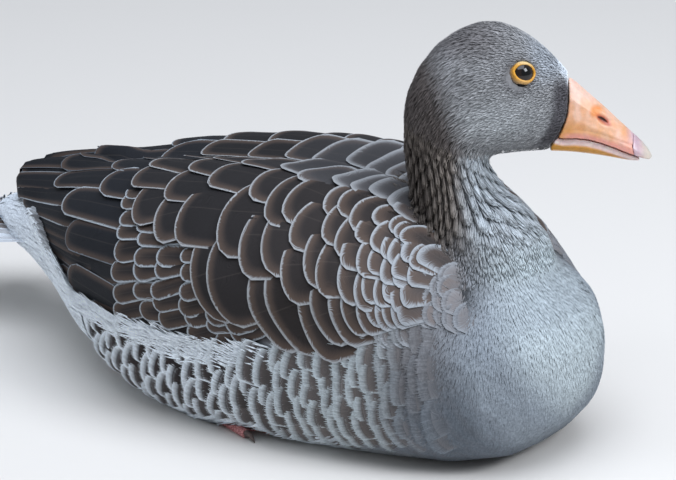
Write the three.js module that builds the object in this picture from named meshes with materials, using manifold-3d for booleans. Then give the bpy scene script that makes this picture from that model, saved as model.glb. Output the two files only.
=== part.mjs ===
// A life-size greylag-type domestic goose at rest, as a still model in separate solids.
// The bird sits on its belly with folded wings and a lifted neck, its head turned to its left.
// Millimetres. +X is forward, +Y is the bird's left and +Z is up; the origin is on the floor under the belly.
import * as THREE from "three";
import { mergeVertices } from "three/addons/utils/BufferGeometryUtils.js";
import Module from "manifold-3d";

const wasm = await Module();
wasm.setup();

// ---- Driving dimensions ----------------------------------------------------------------------------

const GAP = 0.35; // between neighbouring solids
const HEAD_TURN = THREE.MathUtils.degToRad(38); // to the bird's left
const HEAD_PIVOT = new THREE.Vector3(54, 0, 0); // the upright axis that the head turns about

const EYE = { along: 37.7, height: 206.2, radius: 7.2, sunk: 5.6 }; // sunk is how deep the ball's centre sits
const NAIL_LENGTH = 11; // the hard tip of the upper bill
const NOSTRIL = { along: 82.5, height: 178, length: 7.5, width: 3, deep: 2.4, slope: -0.62 };

const TARSUS = { upper: 5.6, lower: 4.6, hock: 7.2, toe: 5.2 }; // radii along the leg
const TOE = { base: 4.2, tip: 2.6, hind: 2.3, into: 0.3 }; // radii, and how far the flat sole cuts into them
const WEB = { thick: 1.3, above: 0.5, scoop: 0.24 }; // scoop is how far its free edge curves towards the heel
const CLAW = { length: 9.5, radius: 2.2, arch: 1.6, tip: 0.15, taper: 1.4, narrow: 0.9 };

const TAIL_THICK = { base: 7, tip: 2.4 };
const TAIL_SAG = { drop: 8, at: 38 }; // how far the fan's edges hang below its middle where it is that wide
const FLAT_RIM = { power: 4, root: 0.5 }; // how the faces of a flat feathered part round off to its edges
const PRIMARIES_BEND = 1.6; // how the flight feathers curve down from the inner edge to the outer one

// Sections of the trunk, from the breast back to the tail coverts. x is the place along the body; top, wide
// and bottom are heights, wide being where the section is broadest; half is half its width, and crown how
// square its upper half is, 2 being an ellipse. What lies under the floor is cut away, which leaves the flat
// that the belly rests on.
const TRUNK = [
  { x: 141, top: 70, wide: 58, bottom: 42, half: 13, crown: 2.2 },
  { x: 134, top: 84, wide: 58, bottom: 24, half: 37, crown: 2.1 },
  { x: 117, top: 102, wide: 60, bottom: 6, half: 58, crown: 1.85 },
  { x: 92, top: 117, wide: 62, bottom: -1, half: 73, crown: 1.75 },
  { x: 64, top: 128, wide: 66, bottom: -4, half: 82, crown: 1.9 },
  { x: 30, top: 137, wide: 69, bottom: -8, half: 90, crown: 2.2 },
  { x: -15, top: 139, wide: 70, bottom: -14, half: 96, crown: 2.2 },
  { x: -60, top: 134, wide: 69, bottom: -16, half: 98, crown: 2.2 },
  { x: -100, top: 127, wide: 67, bottom: -10, half: 94, crown: 2.2 },
  { x: -135, top: 120, wide: 65, bottom: 0, half: 84, crown: 2.2 },
  { x: -165, top: 112, wide: 64, bottom: 16, half: 68, crown: 2.2 },
  { x: -195, top: 102, wide: 63, bottom: 31, half: 50, crown: 2.2 },
  { x: -225, top: 90, wide: 61, bottom: 43, half: 35, crown: 2.1 },
  { x: -252, top: 77, wide: 60, bottom: 50, half: 25, crown: 2 },
  { x: -274, top: 67, wide: 58, bottom: 54, half: 13, crown: 2 },
];
const BELLY_SQUARENESS = 3.1; // of the sections' lower halves

// The neck, from inside the breast up into the head: its centre line, its half thickness fore and aft and to
// the sides, and the share of the head's turn that it has made.
const NECK = [
  { x: 70, z: 60, fore: 40, side: 50, turn: 0 },
  { x: 89, z: 90, fore: 33, side: 41, turn: 0 },
  { x: 84.5, z: 109, fore: 29, side: 32, turn: 0.1 },
  { x: 69, z: 124, fore: 25.5, side: 27, turn: 0.3 },
  { x: 57.5, z: 143, fore: 22.5, side: 23.5, turn: 0.65 },
  { x: 53, z: 166, fore: 22, side: 21.5, turn: 0.9 },
  { x: 60, z: 190, fore: 20, side: 18, turn: 1 },
];

// Sections of the head, from the nape to the bill. along is measured forward from the turning axis.
const HEAD = [
  { along: -22.5, top: 181, wide: 172, bottom: 160, half: 6 },
  { along: -19, top: 197, wide: 176, bottom: 153, half: 15 },
  { along: -8, top: 215, wide: 182, bottom: 150, half: 21.5 },
  { along: 7, top: 226.5, wide: 188, bottom: 153, half: 24.5 },
  { along: 22, top: 231, wide: 191, bottom: 157.5, half: 24.5 },
  { along: 35, top: 227.8, wide: 190, bottom: 159.5, half: 22 },
  { along: 47, top: 220.5, wide: 186, bottom: 160.3, half: 17.5 },
  { along: 57, top: 211, wide: 182, bottom: 160.8, half: 14.5 },
  { along: 66, top: 200.5, wide: 178, bottom: 162, half: 12 },
];
const HEAD_SQUARENESS = 2.1;

// Sections of the bill, from inside the face to the tip. ridge is the height of the culmen, edge that of the
// cutting edge where the halves meet, and under that of the lower half's underside.
const BILL = [
  { along: 52, ridge: 205, edge: 171.6, under: 160.5, half: 12.6 },
  { along: 62, ridge: 202.5, edge: 169.6, under: 160.5, half: 12.6 },
  { along: 72, ridge: 194, edge: 168.4, under: 159.6, half: 12 },
  { along: 83, ridge: 184.4, edge: 165.6, under: 158, half: 11 },
  { along: 93, ridge: 174.8, edge: 161.6, under: 156.2, half: 9.8 },
  { along: 102, ridge: 166.4, edge: 157.8, under: 154.4, half: 8.4 },
  { along: 107, ridge: 161, edge: 154.8, under: 153, half: 6.2 },
  { along: 109.6, ridge: 156.4, edge: 152.4, under: 152, half: 3 },
];
// Where the feathers end at the bill's base, seen from the side.
const FACE_LINE = [
  { along: 65.5, height: 214 },
  { along: 64.5, height: 200 },
  { along: 64, height: 184 },
  { along: 60, height: 172 },
  { along: 56, height: 166 },
  { along: 55, height: 156 },
];
const BILL_ROOM = { reach: 125, width: 60 }; // bigger than the bill
const LOWER_BILL_END = 103; // the lower half stops short of the hooked tip
// How each half's section is rounded: flank and crown are powers, narrow its share of the width, and lip the
// hollow of the face that meets the other half.
const UPPER_BILL = { flank: 1.15, crown: 1.1, narrow: 1, lip: 1.1, up: 1 };
const LOWER_BILL = { flank: 0.9, crown: 0.8, narrow: 0.9, lip: 0.7, up: -1 };

// A folded wing lies on the trunk between two angles, counted from the top of the back down its side. out is
// how proud of the trunk it stands and into is how far it is let into it.
const WING = [
  { x: 97, inner: 50, lower: 62, out: 0.5, into: 1.5 },
  { x: 88, inner: 38, lower: 68, out: 2.5, into: 3 },
  { x: 70, inner: 28, lower: 72, out: 5, into: 4 },
  { x: 42, inner: 19, lower: 77, out: 7, into: 4 },
  { x: 0, inner: 12, lower: 87, out: 8, into: 4 },
  { x: -50, inner: 8, lower: 93, out: 8, into: 4 },
  { x: -100, inner: 6, lower: 97, out: 8, into: 4 },
  { x: -145, inner: 5, lower: 98, out: 8, into: 4 },
  { x: -180, inner: 5, lower: 96, out: 8, into: 3 },
  { x: -205, inner: 6, lower: 86, out: 7, into: 2 },
  { x: -222, inner: 12, lower: 66, out: 5.5, into: 1 },
];

// The tail fan, from its root inside the rump to its rounded tip.
const TAIL = [
  { x: -205, z: 67, half: 16 },
  { x: -232, z: 64, half: 26 },
  { x: -262, z: 60.5, half: 36 },
  { x: -289, z: 57, half: 40 },
  { x: -302, z: 55, half: 34 },
  { x: -308, z: 54, half: 18 },
];

// The flight feathers behind the folded right wing: how far out from the middle each section starts and ends,
// the heights of those two edges, and its thickness.
const PRIMARIES = [
  { x: -180, inner: 3, outer: 44, high: 114, low: 92, thick: 7 },
  { x: -205, inner: 2, outer: 42, high: 110, low: 82, thick: 7 },
  { x: -228, inner: 1.5, outer: 35, high: 105, low: 77, thick: 6 },
  { x: -246, inner: 2, outer: 25, high: 100, low: 79, thick: 4.5 },
  { x: -258, inner: 6, outer: 15, high: 96, low: 86, thick: 2.5 },
];

// Where the head leaves the neck and the neck the trunk.
const HEAD_JOIN = { point: new THREE.Vector3(54, 0, 158), normal: new THREE.Vector3(0.25, 0.2, 1) };
const NECK_JOIN = { point: new THREE.Vector3(82, 0, 116), normal: new THREE.Vector3(0.45, 0, 1) };

// The right foot on the floor: its heel joint behind, where the toes meet, and each toe's bearing (degrees
// outward from straight ahead) and length. The left foot mirrors it.
const HOCK = new THREE.Vector3(-138, -40, 9);
const BALL = new THREE.Vector3(-76, -60, 5.6);
const TOES = {
  outer: { bearing: 20, length: 58 },
  middle: { bearing: 7, length: 62 },
  inner: { bearing: -9, length: 48 },
  hind: { bearing: -115, length: 13 },
};

const LOOKS = {
  greyFeathers: { color: 0x8f8d8d, roughness: 0.85, metalness: 0 },
  breastFeathers: { color: 0xa9abb0, roughness: 0.88, metalness: 0 },
  wingFeathers: { color: 0x4a403b, roughness: 0.75, metalness: 0 },
  tailFeathers: { color: 0xd6d9dc, roughness: 0.8, metalness: 0 },
  billHorn: { color: 0xf08a4b, roughness: 0.45, metalness: 0 },
  nailHorn: { color: 0xe6c3bd, roughness: 0.35, metalness: 0 },
  eyeGloss: { color: 0x1c1512, roughness: 0.05, metalness: 0 },
  legSkin: { color: 0xe38f93, roughness: 0.55, metalness: 0 },
  clawHorn: { color: 0x3a302d, roughness: 0.4, metalness: 0 },
};

const SIDES = { right: 1, left: -1 }; // the sign that the bird's right is counted with
const UP = new THREE.Vector3(0, 0, 1);

// How finely the round shapes are made.
const AROUND = { trunk: 24, neck: 20, head: 22, bill: 16, eye: 12, leg: 8, toe: 7, claw: 8 };
const ACROSS = 8; // strips across a wing, its tip or the tail
const RINGS = { neck: 11, head: 12, bill: 10, claw: 5 };

// ---- Shapes ----------------------------------------------------------------------------------------

// Every number of a key list at place t, where whole numbers are the keys, along a Catmull-Rom spline.
function between(keys, t) {
  const last = keys.length - 1;
  const i = Math.min(Math.floor(t), last - 1);
  const f = t - i;
  const [a, b, c, d] = [-1, 0, 1, 2].map((k) => keys[Math.min(Math.max(i + k, 0), last)]);
  const made = {};
  for (const name of Object.keys(b)) {
    const slope0 = (c[name] - a[name]) / 2;
    const slope1 = (d[name] - b[name]) / 2;
    const rise = c[name] - b[name];
    made[name] =
      b[name] + f * (slope0 + f * (3 * rise - 2 * slope0 - slope1 + f * (slope0 + slope1 - 2 * rise)));
  }
  return made;
}

// The place t at which a key list's value `name` reaches `value`, for values that fall along the list.
function placeOf(keys, name, value) {
  let low = 0;
  let high = keys.length - 1;
  for (let n = 0; n < 30; n++) {
    const middle = (low + high) / 2;
    if (between(keys, middle)[name] > value) low = middle;
    else high = middle;
  }
  return low;
}

// A closed surface through rings of points, with each end closed to the middle of its ring, as a solid.
function loft(rings) {
  const around = rings[0].length;
  const points = rings.flat();
  const middle = (ring) => ring.reduce((sum, p) => sum.add(p), new THREE.Vector3()).divideScalar(around);
  const first = points.push(middle(rings[0])) - 1;
  const last = points.push(middle(rings.at(-1))) - 1;
  const index = [];
  for (let i = 0; i < around; i++) {
    const j = (i + 1) % around;
    for (let r = 0; r < rings.length - 1; r++) {
      const [a, b, c, d] = [r * around + i, r * around + j, (r + 1) * around + j, (r + 1) * around + i];
      index.push(a, b, c, a, c, d);
    }
    const end = (rings.length - 1) * around;
    index.push(first, j, i, last, end + i, end + j);
  }
  const geometry = new THREE.BufferGeometry().setFromPoints(points).setIndex(index);
  return solidOf(geometry);
}

// A closed geometry as a manifold solid, turned right side out.
function solidOf(geometry) {
  const bare = geometry.clone();
  bare.deleteAttribute("normal");
  bare.deleteAttribute("uv");
  const merged = mergeVertices(bare, 1e-4);
  const vertProperties = merged.attributes.position.array;
  const triVerts = new Uint32Array(merged.index.array);
  const made = new wasm.Manifold(new wasm.Mesh({ numProp: 3, vertProperties, triVerts }));
  if (made.volume() > 0) return made;
  triVerts.reverse();
  return new wasm.Manifold(new wasm.Mesh({ numProp: 3, vertProperties, triVerts }));
}

function moved(solid, matrix) {
  return solid.transform(matrix.elements);
}

// A point of a rounded section at an angle from its top, with lift added all round.
function onSection(section, angle, lift, upper, lower) {
  const power = 2 / (Math.cos(angle) > 0 ? upper : lower);
  const bend = (v) => Math.sign(v) * Math.abs(v) ** power;
  const across = bend(Math.sin(angle)) * (section.half + lift);
  const upward = bend(Math.cos(angle));
  const reach = (upward > 0 ? section.top - section.wide : section.wide - section.bottom) + lift;
  return { across, height: section.wide + upward * reach };
}

// The bird's right is at -Y, so `across` is counted towards it.
function trunkPoint(t, angle, lift) {
  const section = between(TRUNK, t);
  const { across, height } = onSection(section, angle, lift, section.crown, BELLY_SQUARENESS);
  return new THREE.Vector3(section.x, -across, height);
}

// Along the head's own direction. Here `across` is counted towards the bird's left.
function headPoint(along, across, height) {
  return new THREE.Vector3(along, across, height)
    .applyAxisAngle(UP, HEAD_TURN)
    .add(HEAD_PIVOT);
}

// `count` evenly spaced places from the first key to the last; by default one at each key.
function places(keys, count = keys.length) {
  return Array.from({ length: count }, (_, i) => ((keys.length - 1) * i) / (count - 1));
}

// How far a grown shape's first and last rings move out along X, for rings listed from front to back.
function endShift(keys, t, grow) {
  if (t === 0) return grow;
  return t === keys.length - 1 ? -grow : 0;
}

function angles(count) {
  return Array.from({ length: count }, (_, i) => (2 * Math.PI * i) / count);
}

function trunk() {
  return loft(places(TRUNK).map((t) => angles(AROUND.trunk).map((a) => trunkPoint(t, a, 0))));
}

function neck() {
  const last = NECK.length - 1;
  const near = 0.02; // a short step along the neck, for its direction
  const centre = (t) => {
    const { x, z } = between(NECK, t);
    return new THREE.Vector3(x, 0, z);
  };
  const rings = places(NECK, RINGS.neck).map((t) => {
    const { fore, side, turn } = between(NECK, t);
    const upward = centre(Math.min(t + near, last)).sub(centre(Math.max(t - near, 0))).normalize();
    const sideways = new THREE.Vector3(0, 1, 0).applyAxisAngle(UP, HEAD_TURN * turn);
    const forward = sideways.clone().cross(upward).normalize();
    return angles(AROUND.neck).map((a) =>
      centre(t)
        .addScaledVector(forward, fore * Math.cos(a))
        .addScaledVector(sideways, side * Math.sin(a)),
    );
  });
  return loft(rings);
}

function head() {
  const rings = places(HEAD, RINGS.head).map((t) => {
    const section = between(HEAD, t);
    return angles(AROUND.head).map((a) => {
      const { across, height } = onSection(section, a, 0, HEAD_SQUARENESS, HEAD_SQUARENESS);
      return headPoint(section.along, across, height);
    });
  });
  return loft(rings);
}

// The place at which a key list that runs forward reaches `along`.
function placeAlong(keys, along) {
  return keys.length - 1 - placeOf(keys.toReversed(), "along", along);
}

// Half of the bill, from inside the face to `end`: the upper one is a rounded ridge over its cutting edges,
// and the lower one a shallow trough.
function billHalf(form, end) {
  const last = placeAlong(BILL, end);
  const rings = Array.from({ length: RINGS.bill }, (_, i) => {
    const section = between(BILL, (last * i) / (RINGS.bill - 1));
    const deep = form === UPPER_BILL ? section.ridge - section.edge : section.edge - section.under;
    return angles(AROUND.bill).map((a) => {
      const across = Math.sign(Math.sin(a)) * Math.abs(Math.sin(a)) ** form.flank;
      const reach = deep * Math.max(Math.cos(a), 0) ** form.crown + form.lip * Math.max(-Math.cos(a), 0);
      const height = section.edge + form.up * (GAP / 2 + reach);
      return headPoint(section.along, section.half * form.narrow * across, height);
    });
  });
  return loft(rings);
}

// The room in front of the line where the face's feathers end.
function frontOfFace(shift) {
  const line = new THREE.SplineCurve(FACE_LINE.map((p) => new THREE.Vector2(p.along + shift, p.height)));
  const outline = new THREE.Shape(line.getPoints(12));
  outline.lineTo(BILL_ROOM.reach, FACE_LINE.at(-1).height);
  outline.lineTo(BILL_ROOM.reach, FACE_LINE[0].height);
  outline.closePath();
  const room = new THREE.ExtrudeGeometry(outline, { depth: BILL_ROOM.width, bevelEnabled: false });
  room.translate(0, 0, -BILL_ROOM.width / 2);
  room.rotateX(Math.PI / 2);
  room.rotateZ(HEAD_TURN);
  return moved(solidOf(room), new THREE.Matrix4().setPosition(HEAD_PIVOT));
}

function eyeCentre(side) {
  const section = between(HEAD, placeAlong(HEAD, EYE.along));
  const rise = (EYE.height - section.wide) / (section.top - section.wide);
  const surface = section.half * (1 - rise ** HEAD_SQUARENESS) ** (1 / HEAD_SQUARENESS);
  return headPoint(EYE.along, -side * (surface - EYE.sunk), EYE.height);
}

function ball(centre, radius, detail) {
  const sphere = new THREE.SphereGeometry(radius, detail, detail - 4);
  return moved(solidOf(sphere), new THREE.Matrix4().setPosition(centre));
}

// The long hole of a nostril, lying in the bill's side and sloping as the ridge does.
function nostril(side) {
  const { along, height, length, width, deep, slope } = NOSTRIL;
  const section = between(BILL, placeAlong(BILL, along));
  const upward = ((height - section.edge) / (section.ridge - section.edge)) ** (1 / UPPER_BILL.crown);
  const surface = section.half * Math.sqrt(1 - upward ** 2) ** UPPER_BILL.flank;
  const hole = new THREE.SphereGeometry(1, 10, 6);
  hole.scale(length / 2, deep, width / 2);
  hole.rotateY(-Math.atan(slope));
  hole.rotateZ(HEAD_TURN);
  return moved(solidOf(hole), new THREE.Matrix4().setPosition(headPoint(along, side * surface, height)));
}

// The ring of a flat part. point(share, depth) gives the point at a share of its width, with depth running
// from 1 on the upper face through 0 at the edges to -1 on the under face.
function flatRing(point) {
  const at = (step, sign) => {
    const share = step / ACROSS;
    const depth = sign * (1 - Math.abs(2 * share - 1) ** FLAT_RIM.power) ** FLAT_RIM.root;
    return point(share, depth);
  };
  const upper = Array.from({ length: ACROSS + 1 }, (_, i) => at(i, 1));
  const under = Array.from({ length: ACROSS - 1 }, (_, i) => at(ACROSS - 1 - i, -1));
  return [...upper, ...under];
}

// A folded wing on one side: a curved leaf on the trunk. grow adds to it all round.
function wing(side, grow) {
  const rings = places(WING).map((t) => {
    const { x, inner, lower, out, into } = between(WING, t);
    const place = placeOf(TRUNK, "x", x + endShift(WING, t, grow));
    const extra = grow / between(TRUNK, place).half;
    const start = THREE.MathUtils.degToRad(inner) - extra;
    const end = THREE.MathUtils.degToRad(lower) + extra;
    return flatRing((share, depth) => {
      const lift = (out - into) / 2 + depth * ((out + into) / 2 + grow);
      return trunkPoint(place, side * THREE.MathUtils.lerp(start, end, share), lift);
    });
  });
  return loft(rings);
}

// The long flight feathers that show behind the folded right wing: a blade with a rounded tip over the tail.
function primaries(grow) {
  const rings = places(PRIMARIES).map((t) => {
    const { x, inner, outer, high, low, thick } = between(PRIMARIES, t);
    return flatRing((share, depth) => {
      const y = THREE.MathUtils.lerp(inner - grow, outer + grow, share);
      const z = THREE.MathUtils.lerp(high, low, share ** PRIMARIES_BEND) + depth * (thick / 2 + grow);
      return new THREE.Vector3(x + endShift(PRIMARIES, t, grow), -y, z);
    });
  });
  return loft(rings);
}

function tail(grow) {
  const rings = places(TAIL).map((t) => {
    const { x, z, half } = between(TAIL, t);
    const thick = THREE.MathUtils.lerp(TAIL_THICK.base, TAIL_THICK.tip, t / (TAIL.length - 1));
    return flatRing((share, depth) => {
      const out = 2 * share - 1;
      const sag = TAIL_SAG.drop * (half / TAIL_SAG.at) * out ** 2;
      const height = z - sag + depth * (thick / 2 + grow);
      return new THREE.Vector3(x + endShift(TAIL, t, grow), out * (half + grow), height);
    });
  });
  return loft(rings);
}

// A straight tapering limb with round ends, from one ball to another.
function limb(from, to, radius0, radius1, detail) {
  const axis = to.clone().sub(from);
  const corner = Math.SQRT1_2;
  const profile = [
    new THREE.Vector2(0, -radius0),
    new THREE.Vector2(radius0 * corner, -radius0 * corner),
    new THREE.Vector2(radius0, 0),
    new THREE.Vector2(radius1, axis.length()),
    new THREE.Vector2(radius1 * corner, axis.length() + radius1 * corner),
    new THREE.Vector2(0, axis.length() + radius1),
  ];
  const turned = new THREE.Quaternion().setFromUnitVectors(new THREE.Vector3(0, 1, 0), axis.normalize());
  const matrix = new THREE.Matrix4().makeRotationFromQuaternion(turned).setPosition(from);
  return moved(solidOf(new THREE.LatheGeometry(profile, detail)), matrix);
}

// The way a toe of the right foot points, and the place on the floor where it ends.
function toeWay({ bearing }) {
  return new THREE.Vector3(1, 0, 0).applyAxisAngle(UP, -THREE.MathUtils.degToRad(bearing));
}

function toeEnd(toe, height) {
  return BALL.clone().addScaledVector(toeWay(toe), toe.length).setZ(height);
}

function aboveFloor(solid) {
  return solid.trimByPlane(UP.toArray(), 0);
}

// The right foot's toes and webs in one piece, with a flat sole.
function foot(grow) {
  const root = BALL.clone().setZ(TOE.base - TOE.into);
  const ends = [TOES.outer, TOES.middle, TOES.inner].map((toe) => toeEnd(toe, TOE.tip - TOE.into));
  const toes = ends.map((end) => limb(root, end, TOE.base + grow, TOE.tip + grow, AROUND.toe));
  const hindEnd = toeEnd(TOES.hind, TOE.hind - TOE.into);
  const hind = limb(root, hindEnd, TOE.tip + grow, TOE.hind + grow, AROUND.toe);
  const outline = new THREE.Shape();
  outline.moveTo(root.x, root.y);
  outline.lineTo(ends[0].x, ends[0].y);
  for (const i of [1, 2]) {
    const dip = ends[i - 1].clone().lerp(ends[i], 0.5).lerp(root, WEB.scoop);
    outline.quadraticCurveTo(dip.x, dip.y, ends[i].x, ends[i].y);
  }
  outline.closePath();
  const depth = WEB.thick + 2 * grow;
  const web = new THREE.ExtrudeGeometry(outline, { depth, bevelEnabled: false, curveSegments: 3 });
  web.translate(0, 0, WEB.above - grow);
  return aboveFloor([...toes, hind].reduce((sum, toe) => sum.add(toe), solidOf(web)));
}

// A curved, pointed claw on a toe's end.
function claw(toe, grow) {
  const ahead = toeWay(toe);
  const sideways = UP.clone().cross(ahead);
  const rings = Array.from({ length: RINGS.claw }, (_, i) => {
    const share = i / (RINGS.claw - 1);
    const radius = CLAW.radius * (1 - (1 - CLAW.tip) * share ** CLAW.taper) + grow;
    const beyond = grow * (2 * share - 1);
    const centre = toeEnd(toe, radius - grow + CLAW.arch * Math.sin(Math.PI * share));
    centre.addScaledVector(ahead, CLAW.length * share + beyond);
    return angles(AROUND.claw).map((a) =>
      centre
        .clone()
        .addScaledVector(sideways, radius * CLAW.narrow * Math.cos(a))
        .addScaledVector(UP, radius * Math.sin(a)),
    );
  });
  return aboveFloor(loft(rings));
}

// The right leg from its heel joint to the ball of the foot; the rest is under the flank's feathers.
function shank(grow) {
  const shaft = limb(HOCK, BALL, TARSUS.upper + grow, TARSUS.lower + grow, AROUND.leg);
  const hock = ball(HOCK, TARSUS.hock + grow, AROUND.leg);
  return aboveFloor(shaft.add(hock).add(ball(BALL, TARSUS.toe + grow, AROUND.leg)));
}

// ---- Cutting the whole bird into its named parts ---------------------------------------------------

// Splits a solid along a plane and leaves the usual gap. The first half is the one that the normal points to.
function split(solid, { point, normal }) {
  const n = normal.clone().normalize();
  const d = point.dot(n);
  return [
    solid.trimByPlane(n.toArray(), d + GAP / 2),
    solid.trimByPlane(n.clone().negate().toArray(), GAP / 2 - d),
  ];
}

// The space that a solid takes with its gap around it, for cutting from its neighbours.
function roomFor(make) {
  return make(GAP).add(make(0));
}

// A solid made for the right side, on the side wanted.
function onSide(side, solid) {
  return side === SIDES.right ? solid : solid.mirror([0, 1, 0]);
}

function meshNamed(name, solid, look) {
  const { vertProperties, triVerts } = solid.getMesh();
  const geometry = new THREE.BufferGeometry();
  geometry.setAttribute("position", new THREE.BufferAttribute(vertProperties, 3));
  geometry.setIndex(new THREE.BufferAttribute(triVerts, 1));
  geometry.computeVertexNormals();
  const mesh = new THREE.Mesh(geometry, new THREE.MeshStandardMaterial(look));
  mesh.name = name;
  return mesh;
}

function bird() {
  const group = new THREE.Group();
  const add = (name, solid, look) => group.add(meshNamed(name, solid, look));

  const claws = Object.entries(TOES).map(([name, toe]) => ({ name, toe }));
  const clawRoom = claws.reduce((sum, { toe }) => sum.add(claw(toe, GAP)), claw(TOES.hind, GAP));
  const legRoom = shank(GAP).add(foot(GAP)).add(clawRoom).hull();
  const tailRoom = roomFor(tail);
  const tipRoom = roomFor(primaries);

  let flesh = aboveFloor(trunk()).add(neck());
  flesh = flesh.add(head().subtract(frontOfFace(-GAP))).subtract(tailRoom);
  for (const side of Object.values(SIDES)) {
    const wingRoom = roomFor((grow) => wing(side, grow));
    const eyeRoom = ball(eyeCentre(side), EYE.radius + GAP, AROUND.eye);
    flesh = flesh.subtract(wingRoom).subtract(eyeRoom);
    flesh = flesh.subtract(onSide(side, tipRoom.add(legRoom)));
  }
  // Slivers left between a wing and the tail fan are dropped.
  const byVolume = flesh.decompose().sort((a, b) => b.volume() - a.volume());
  const [headPart, below] = split(byVolume[0], HEAD_JOIN);
  const [neckPart, trunkPart] = split(below, NECK_JOIN);
  add("head", headPart, LOOKS.greyFeathers);
  add("neck", neckPart, LOOKS.greyFeathers);
  add("trunk", trunkPart, LOOKS.breastFeathers);
  add("tail", tail(0), LOOKS.tailFeathers);

  const billEnd = BILL.at(-1).along;
  const faceRoom = frontOfFace(0);
  const upperBill = billHalf(UPPER_BILL, billEnd).intersect(faceRoom);
  const nailJoin = {
    point: headPoint(billEnd - NAIL_LENGTH, 0, 0),
    normal: new THREE.Vector3(1, 0, 0).applyAxisAngle(UP, HEAD_TURN),
  };
  const [nail, upper] = split(upperBill, nailJoin);
  add("bill_upper", upper.subtract(nostril(SIDES.right)).subtract(nostril(SIDES.left)), LOOKS.billHorn);
  add("bill_nail", nail, LOOKS.nailHorn);
  add("bill_lower", billHalf(LOWER_BILL, LOWER_BILL_END).intersect(faceRoom), LOOKS.billHorn);

  const leg = shank(0).add(foot(0));
  const legJoin = {
    point: BALL.clone().addScaledVector(new THREE.Vector3(-1, 0, 0), 2 * TARSUS.toe),
    normal: new THREE.Vector3(1, 0, 0),
  };
  const [toes, tarsus] = split(leg, legJoin);
  for (const [name, side] of Object.entries(SIDES)) {
    add(`eye_${name}`, ball(eyeCentre(side), EYE.radius, AROUND.eye), LOOKS.eyeGloss);
    const beside = wing(side, 0).subtract(onSide(side, tipRoom)).subtract(tailRoom);
    add(`wing_${name}`, beside, LOOKS.wingFeathers);
    add(`wingtip_${name}`, onSide(side, primaries(0)).subtract(tailRoom), LOOKS.wingFeathers);
    add(`shank_${name}`, onSide(side, tarsus), LOOKS.legSkin);
    add(`foot_${name}`, onSide(side, toes.subtract(clawRoom)), LOOKS.legSkin);
    for (const { name: toeName, toe } of claws) {
      add(`claw_${toeName}_${name}`, onSide(side, claw(toe, 0)), LOOKS.clawHorn);
    }
  }
  return group;
}

export default bird();
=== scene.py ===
"""A life-size grey domestic goose at rest: one skin, the plumage over it, and the horny parts."""
import math

import bmesh
import bpy
import numpy as np
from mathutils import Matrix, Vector
from mathutils.bvhtree import BVHTree
from mathutils.kdtree import KDTree


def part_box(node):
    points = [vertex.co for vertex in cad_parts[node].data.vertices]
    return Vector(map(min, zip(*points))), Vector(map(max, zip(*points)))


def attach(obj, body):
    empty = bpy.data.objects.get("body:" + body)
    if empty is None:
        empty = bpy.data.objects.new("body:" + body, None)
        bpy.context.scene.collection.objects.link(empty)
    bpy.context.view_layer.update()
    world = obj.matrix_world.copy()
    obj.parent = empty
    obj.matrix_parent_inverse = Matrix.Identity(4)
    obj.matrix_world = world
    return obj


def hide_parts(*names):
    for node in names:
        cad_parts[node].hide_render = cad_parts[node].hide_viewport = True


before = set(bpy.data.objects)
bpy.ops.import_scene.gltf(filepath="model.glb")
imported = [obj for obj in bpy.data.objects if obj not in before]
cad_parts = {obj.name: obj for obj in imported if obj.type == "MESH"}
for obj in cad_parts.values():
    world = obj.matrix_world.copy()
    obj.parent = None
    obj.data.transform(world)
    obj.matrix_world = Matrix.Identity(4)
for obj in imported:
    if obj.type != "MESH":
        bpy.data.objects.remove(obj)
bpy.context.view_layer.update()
scene = bpy.context.scene
rng = np.random.default_rng(11)

MM = 0.001
BODY = "root"
SIDES = {"right": 1, "left": -1}  # the sign that the bird's right, at -Y, is counted with
TURN = math.radians(38)  # of the head, about an upright axis through the top of the neck
COS_TURN, SIN_TURN = math.cos(TURN), math.sin(TURN)
HEAD_PIVOT = np.array([0.054, 0.0, 0.0])
AXIS_HEIGHT = 65 * MM  # of the level line that angles round the torso turn about
NECK_LEAN = 0.27  # how far the neck runs back for each unit of height
FURROWS = 33  # round the neck
LOCK = 8.5  # mm from lock to lock down each of the neck's ridges
COAT = {"head": 0.9, "neck": 2.2, "body": 2.4, "wing": 4.5}  # mm of feathers over the skin
FAR = 9  # metres, past everything
FEATHER_GROUND = 0.2 * MM  # the lowest that a feather lies
SKIN_GROUND = 0.3 * MM
PATCH = 0.003  # the size of a tuft on the map that its colours are baked to
BARB_PATCH = 0.0015
FULL_TURN = 2 * math.pi
VANE_MAP = 100  # mm for each unit on the map that a vane's pattern follows

# The rear border of the bill: heights and places along the head, in mm.
BILL_BORDER = ([156, 166, 172, 184, 200, 214], [55, 56, 60, 64, 64.5, 65.5])

COLOURS = {
    "face": "#8f9092",
    "cheek": "#b3b7ba",
    "forehead": "#9ba1a8",
    "crown": "#696667",
    "nape": "#5f5957",
    "lore": "#474449",
    "neck_dark": "#2d2826",
    "neck_buff": "#857d76",
    "neck_silver": "#b1b9bf",
    # The breast's greys run paler high and at the front and darker low down: partly the breast's own colour,
    # partly painted light from the front and painted shade under the bird.
    "breast_high": "#b6c2c7",
    "breast": "#8c959e",
    "breast_low": "#687079",
    "breast_bar": "#6b696d",
    "shoulder": "#6a6564",
    "shoulder_edge": "#9fa5ab",
    "belly": "#c3c8cd",
    "flank_bar": "#2b2526",
    "flank_white": "#eaf3fb",
    "back": "#332e2d",
    "wing": "#252426",
    "quill": "#1f2126",
    "warm": "#655449",
    "fringe": "#8d857e",
    "fringe_white": "#a2aab1",
    "fringe_dim": "#69717a",
    "rump": "#6f7277",
    "covert_white": "#dde6ef",
    "tail": "#57504d",
}


# ---- Small tools --------------------------------------------------------------------------------


def linear(hexed):
    """An sRGB colour such as #a0b0c0 as three linear numbers."""
    numbers = [int(hexed[i : i + 2], 16) / 255 for i in (1, 3, 5)]
    return np.array([c / 12.92 if c <= 0.04045 else ((c + 0.055) / 1.055) ** 2.4 for c in numbers])


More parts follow.
